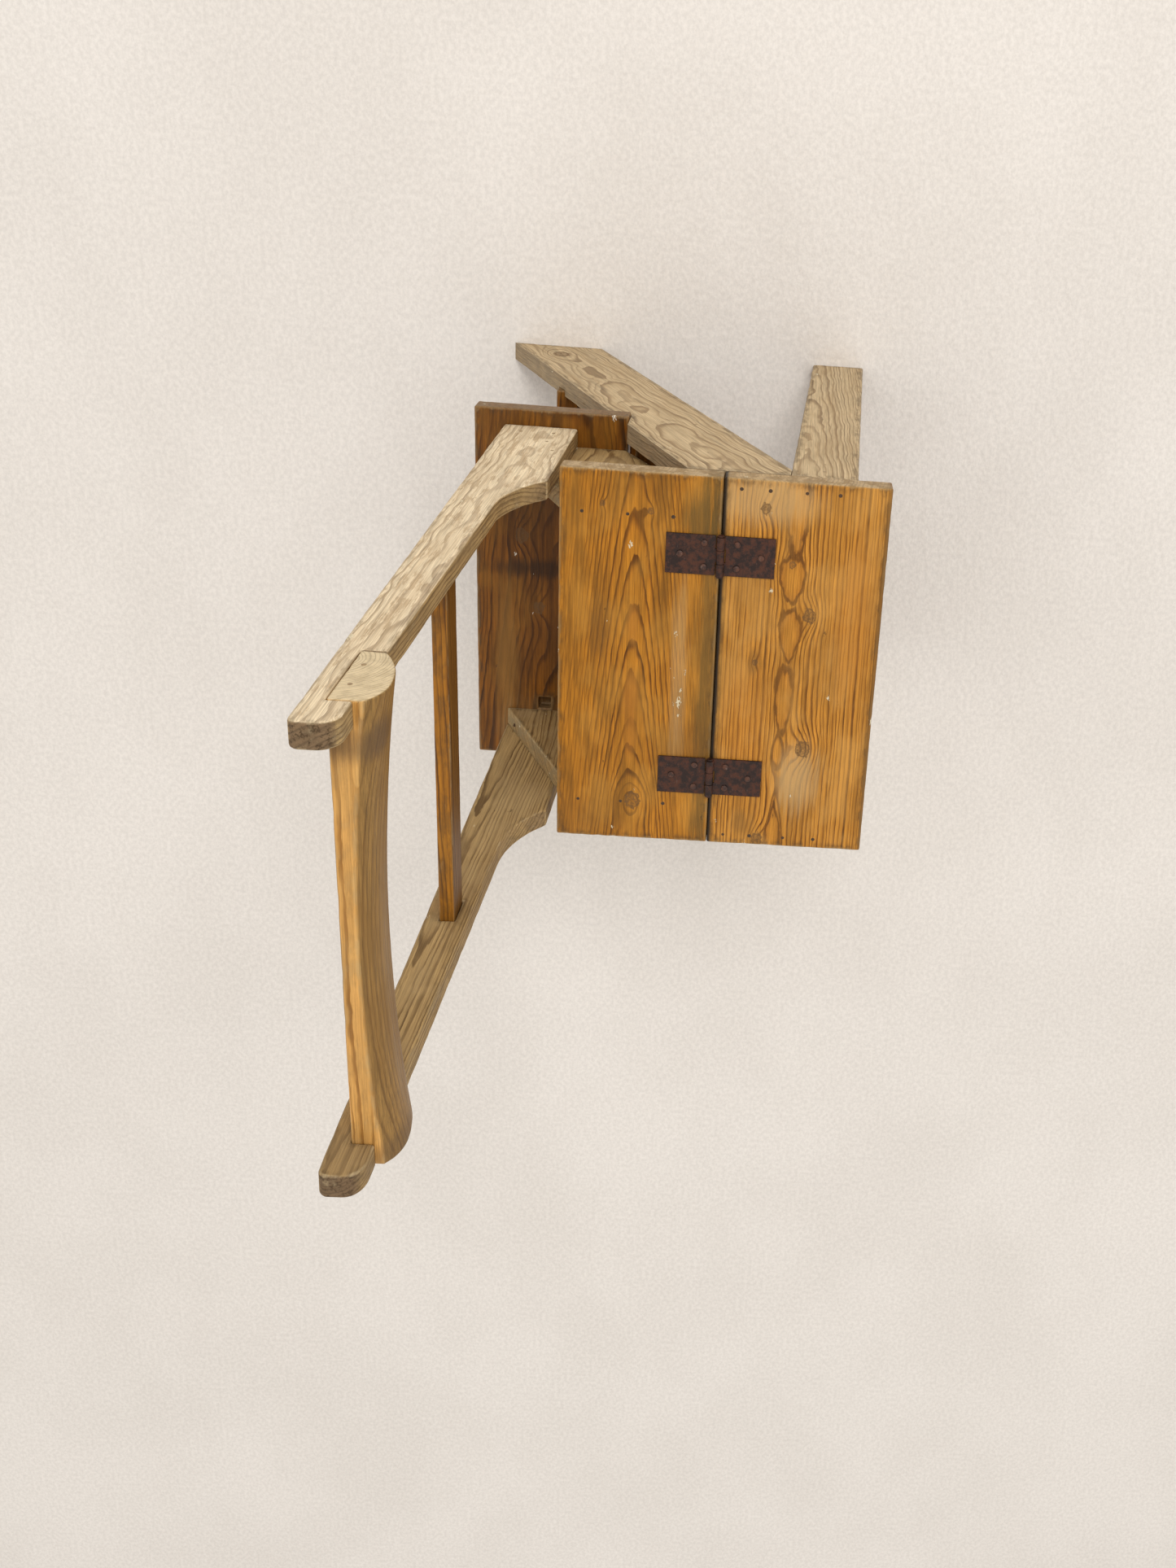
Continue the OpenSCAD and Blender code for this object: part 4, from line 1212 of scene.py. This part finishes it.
@dataclass
class Ironwork:
    """The strap hinges, their pins and every nail."""

    leaf_arris: float = 0.5
    beaten_every: float = 1.4
    beaten_depth: float = 0.16
    ring_reach: float = 4.6
    ring_depth: float = 0.3
    head_arris: float = 0.4
    board_crown: float = 0.25
    hinge_crown: float = 0.8

    def build(self, groups: GroupLibrary, slots: dict[str, str]) -> None:
        """Builds the iron pieces.

        Args:
            groups: The shared effects.
            slots: Material slots by node.
        """
        hinge_nodes = ["hinge_front_nails", "hinge_rear_nails"]
        rust = HINGE_RUST.material("hinge_rust", groups)
        dark = NAIL_IRON.material("nail_scale", groups)
        finishes = dict.fromkeys(hinge_nodes, HINGE_NAIL.material("hinge_nail_rust", groups))
        bare_wood = ("crest_nails", "upright_nails", "tread_nails", "apron_nails")
        finishes |= dict.fromkeys(bare_wood, NAIL_STAINED.material("nail_stained", groups))
        hinge_nails = NailLine.all_of(hinge_nodes)
        for node, slot in slots.items():
            if slot not in ("rusty_iron", "nail_iron"):
                continue
            bm = bmesh.new()
            bm.from_mesh(frame["nodes"][node].data)
            bmesh.ops.remove_doubles(bm, verts=bm.verts, dist=0.005 * MM)
            bmesh.ops.dissolve_limit(bm, angle_limit=math.radians(0.6), verts=bm.verts, edges=bm.edges)
            if node.endswith("leaf"):
                self._beat(bm, hinge_nails)
            else:
                self._crown_heads(bm, self.hinge_crown if node in hinge_nodes else self.board_crown)
            mesh = bpy.data.meshes.new(node + "_iron")
            bm.to_mesh(mesh)
            bm.free()
            mesh.materials.append(finishes.get(node, rust if slot == "rusty_iron" else dark))
            piece = finish_piece(node + "_iron", mesh)
            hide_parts(node)
            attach(piece, frame["nodes"][node]["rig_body"])

    def _beat(self, bm: bmesh.types.BMesh, nails: list[NailLine]) -> None:
        """Softens a leaf's outline, and leaves its face slightly beaten, with a sunk ring round each head.

        Args:
            bm: The leaf's mesh.
            nails: The lines of the hinges' nails.
        """
        plate = [e for e in bm.edges if len(e.link_faces) == 2 and e.calc_length() > 3 * MM
                 and e.calc_face_angle(0.0) > math.radians(40)]
        bmesh.ops.bevel(bm, geom=plate, offset=self.leaf_arris * MM, offset_type="OFFSET", segments=2, profile=0.5,
                        affect="EDGES", clamp_overlap=True, material=-1)
        cut_grid(bm, (Vector((1, 0, 0)), Vector((0, 1, 0))), self.beaten_every)
        bm.normal_update()
        layer = bm.verts.layers.float.new("edge")
        moves = []
        for vertex in bm.verts:
            away = min(Vector((vertex.co.x - nail.start.x, vertex.co.y - nail.start.y)).length for nail in nails)
            ring = max(0.0, 1.0 - away / (self.ring_reach * MM)) if vertex.normal.z > 0.7 else 0.0
            # The ring is stored as the edge attribute, which the iron's colour turns into painted shade.
            vertex[layer] = ring
            beaten = self.beaten_depth * (noise.noise(vertex.co / (5 * MM)) - 1.0)
            moves.append((vertex, vertex.normal * ((beaten - self.ring_depth * ring) * MM)))
        for vertex, move in moves:
            vertex.co += move

    def _crown_heads(self, bm: bmesh.types.BMesh, crown: float) -> None:
        """Rounds the heads' rims, and crowns their tops.

        Args:
            bm: The nails' or the pins' mesh.
            crown: How far a head's middle stands up, in millimetres.
        """
        rims = [e for e in bm.edges if len(e.link_faces) == 2 and e.calc_face_angle(0.0) > math.radians(60)]
        bmesh.ops.bevel(bm, geom=rims, offset=self.head_arris * MM, offset_type="OFFSET", segments=3, profile=0.5,
                        affect="EDGES", clamp_overlap=True, material=-1)
        caps = [f for f in bm.faces if len(f.verts) >= 12]
        widest = max((f.calc_area() for f in caps), default=0.0)
        tops = [f for f in caps if f.calc_area() > 0.8 * widest]
        for top in tops:
            radius = math.sqrt(top.calc_area() / math.pi)
            for share in (0.6, 0.3):
                bmesh.ops.inset_individual(bm, faces=[top], thickness=radius * 0.3, depth=crown * share * MM)


# ---- studio --------------------------------------------------------------------------------------


@dataclass
class Studio:
    """A plain pale floor, soft light and the camera."""

    floor_reach: float = 14.0
    plaster: Colour = (0.80, 0.745, 0.685)
    plaster_shade: Colour = (0.76, 0.705, 0.645)
    sky: Colour = (1.0, 0.985, 0.965)
    sky_strength: float = 0.885
    key_place: Triple = (3.0, -1.0, 4.2)
    key_size: float = 1.8
    key_power: float = 80.0
    eye: Triple = (0.579, -0.123, 1.639)
    aim: Triple = (0.145, -0.180, 0.458)
    upward: Triple = (0.9355, 0.0677, -0.3468)
    lens: float = 31.8
    shift: tuple[float, float] = (-0.167, -0.160)

    def build(self) -> None:
        """Builds the floor, the lights and the camera."""
        self._floor()
        self._light()
        self._camera()

    def _floor(self) -> None:
        """Lays the plaster-coloured floor under the chair's feet."""
        bm = bmesh.new()
        bmesh.ops.create_grid(bm, x_segments=1, y_segments=1, size=self.floor_reach)
        mesh = bpy.data.meshes.new("studio_floor")
        bm.to_mesh(mesh)
        bm.free()
        material = bpy.data.materials.new("pale_plaster")
        material.use_nodes = True
        g = Graph(material.node_tree)
        shader = material.node_tree.nodes["Principled BSDF"]
        here = g.scaled(g.add("TexCoord").outputs["Object"], 1 / MM)
        mottle = g.noise(here, (420.0, 300.0, 300.0), 6.0, 0.6)
        trowel = g.noise(here, (17.0, 13.0, 13.0), 4.0, 0.6)
        sweep = g.noise(here, (240.0, 90.0, 90.0), 5.0, 0.65)
        grit = g.grey(g.spread(g.noise(here, (6.0, 5.0, 5.0), 3.0, 0.65), 0.3, 0.7, 0.93, 1.05))
        plaster = g.mix(g.spread(mottle, 0.35, 0.65), self.plaster_shade, self.plaster)
        g.feed(shader.inputs["Base Color"], g.mix(1.0, plaster, grit, "MULTIPLY"))
        shader.inputs["Roughness"].default_value = 0.9
        shader.inputs["Specular IOR Level"].default_value = 0.1
        bump = g.add("Bump")
        bump.inputs["Strength"].default_value = 0.7
        bump.inputs["Distance"].default_value = 2.6 * MM
        g.feed(bump.inputs["Height"], g.maths("ADD", trowel, sweep))
        g.feed(shader.inputs["Normal"], bump.outputs[0])
        mesh.materials.append(material)
        floor = bpy.data.objects.new("studio_floor", mesh)
        bpy.context.scene.collection.objects.link(floor)

    def _light(self) -> None:
        """Sets the soft surrounding light and one large key light from the chair's left."""
        world = bpy.data.worlds.new("soft_studio")
        world.use_nodes = True
        background = world.node_tree.nodes["Background"]
        background.inputs["Color"].default_value = (*self.sky, 1.0)
        background.inputs["Strength"].default_value = self.sky_strength
        bpy.context.scene.world = world
        lamp = bpy.data.lights.new("window", "AREA")
        lamp.shape = "DISK"
        lamp.size = self.key_size
        lamp.energy = self.key_power
        key = bpy.data.objects.new("window", lamp)
        key.location = self.key_place
        key.rotation_euler = (Vector((0, 0, 0.45)) - Vector(self.key_place)).to_track_quat("-Z", "Y").to_euler()
        bpy.context.scene.collection.objects.link(key)

    def _camera(self) -> None:
        """Sets the camera above the seat, rolled so that the chair lies on its right side in the picture."""
        lens = bpy.data.cameras.new("view")
        lens.lens = self.lens
        lens.sensor_width = 36.0
        lens.shift_x, lens.shift_y = self.shift
        lens.clip_start, lens.clip_end = 0.05, 60.0
        forward = (Vector(self.aim) - Vector(self.eye)).normalized()
        right = forward.cross(Vector(self.upward)).normalized()
        up = right.cross(forward)
        camera = bpy.data.objects.new("view", lens)
        camera.matrix_world = Matrix.Translation(self.eye) @ Matrix((right, up, -forward)).transposed().to_4x4()
        bpy.context.scene.collection.objects.link(camera)
        bpy.context.scene.camera = camera
        bpy.context.scene.view_settings.view_transform = "Standard"


def main() -> None:
    """Builds the chair and its studio."""
    logging.basicConfig(level=logging.INFO, format="%(message)s")
    groups = GroupLibrary()
    slots = {part["node"]: part["material_slot"] for part in frame["record"]["subparts"]}
    Studio().build()
    nails = NailLine.all_of([node for node in frame["nodes"] if node.endswith("_nails")])
    for assembly in (Seat(), TurningSection(), ChairBack(), SideFrames()):
        LOG.info("building %s", type(assembly).__name__)
        assembly.build(nails, groups, slots)
    Ironwork().build(groups, slots)


if __name__ == "__main__":
    main()
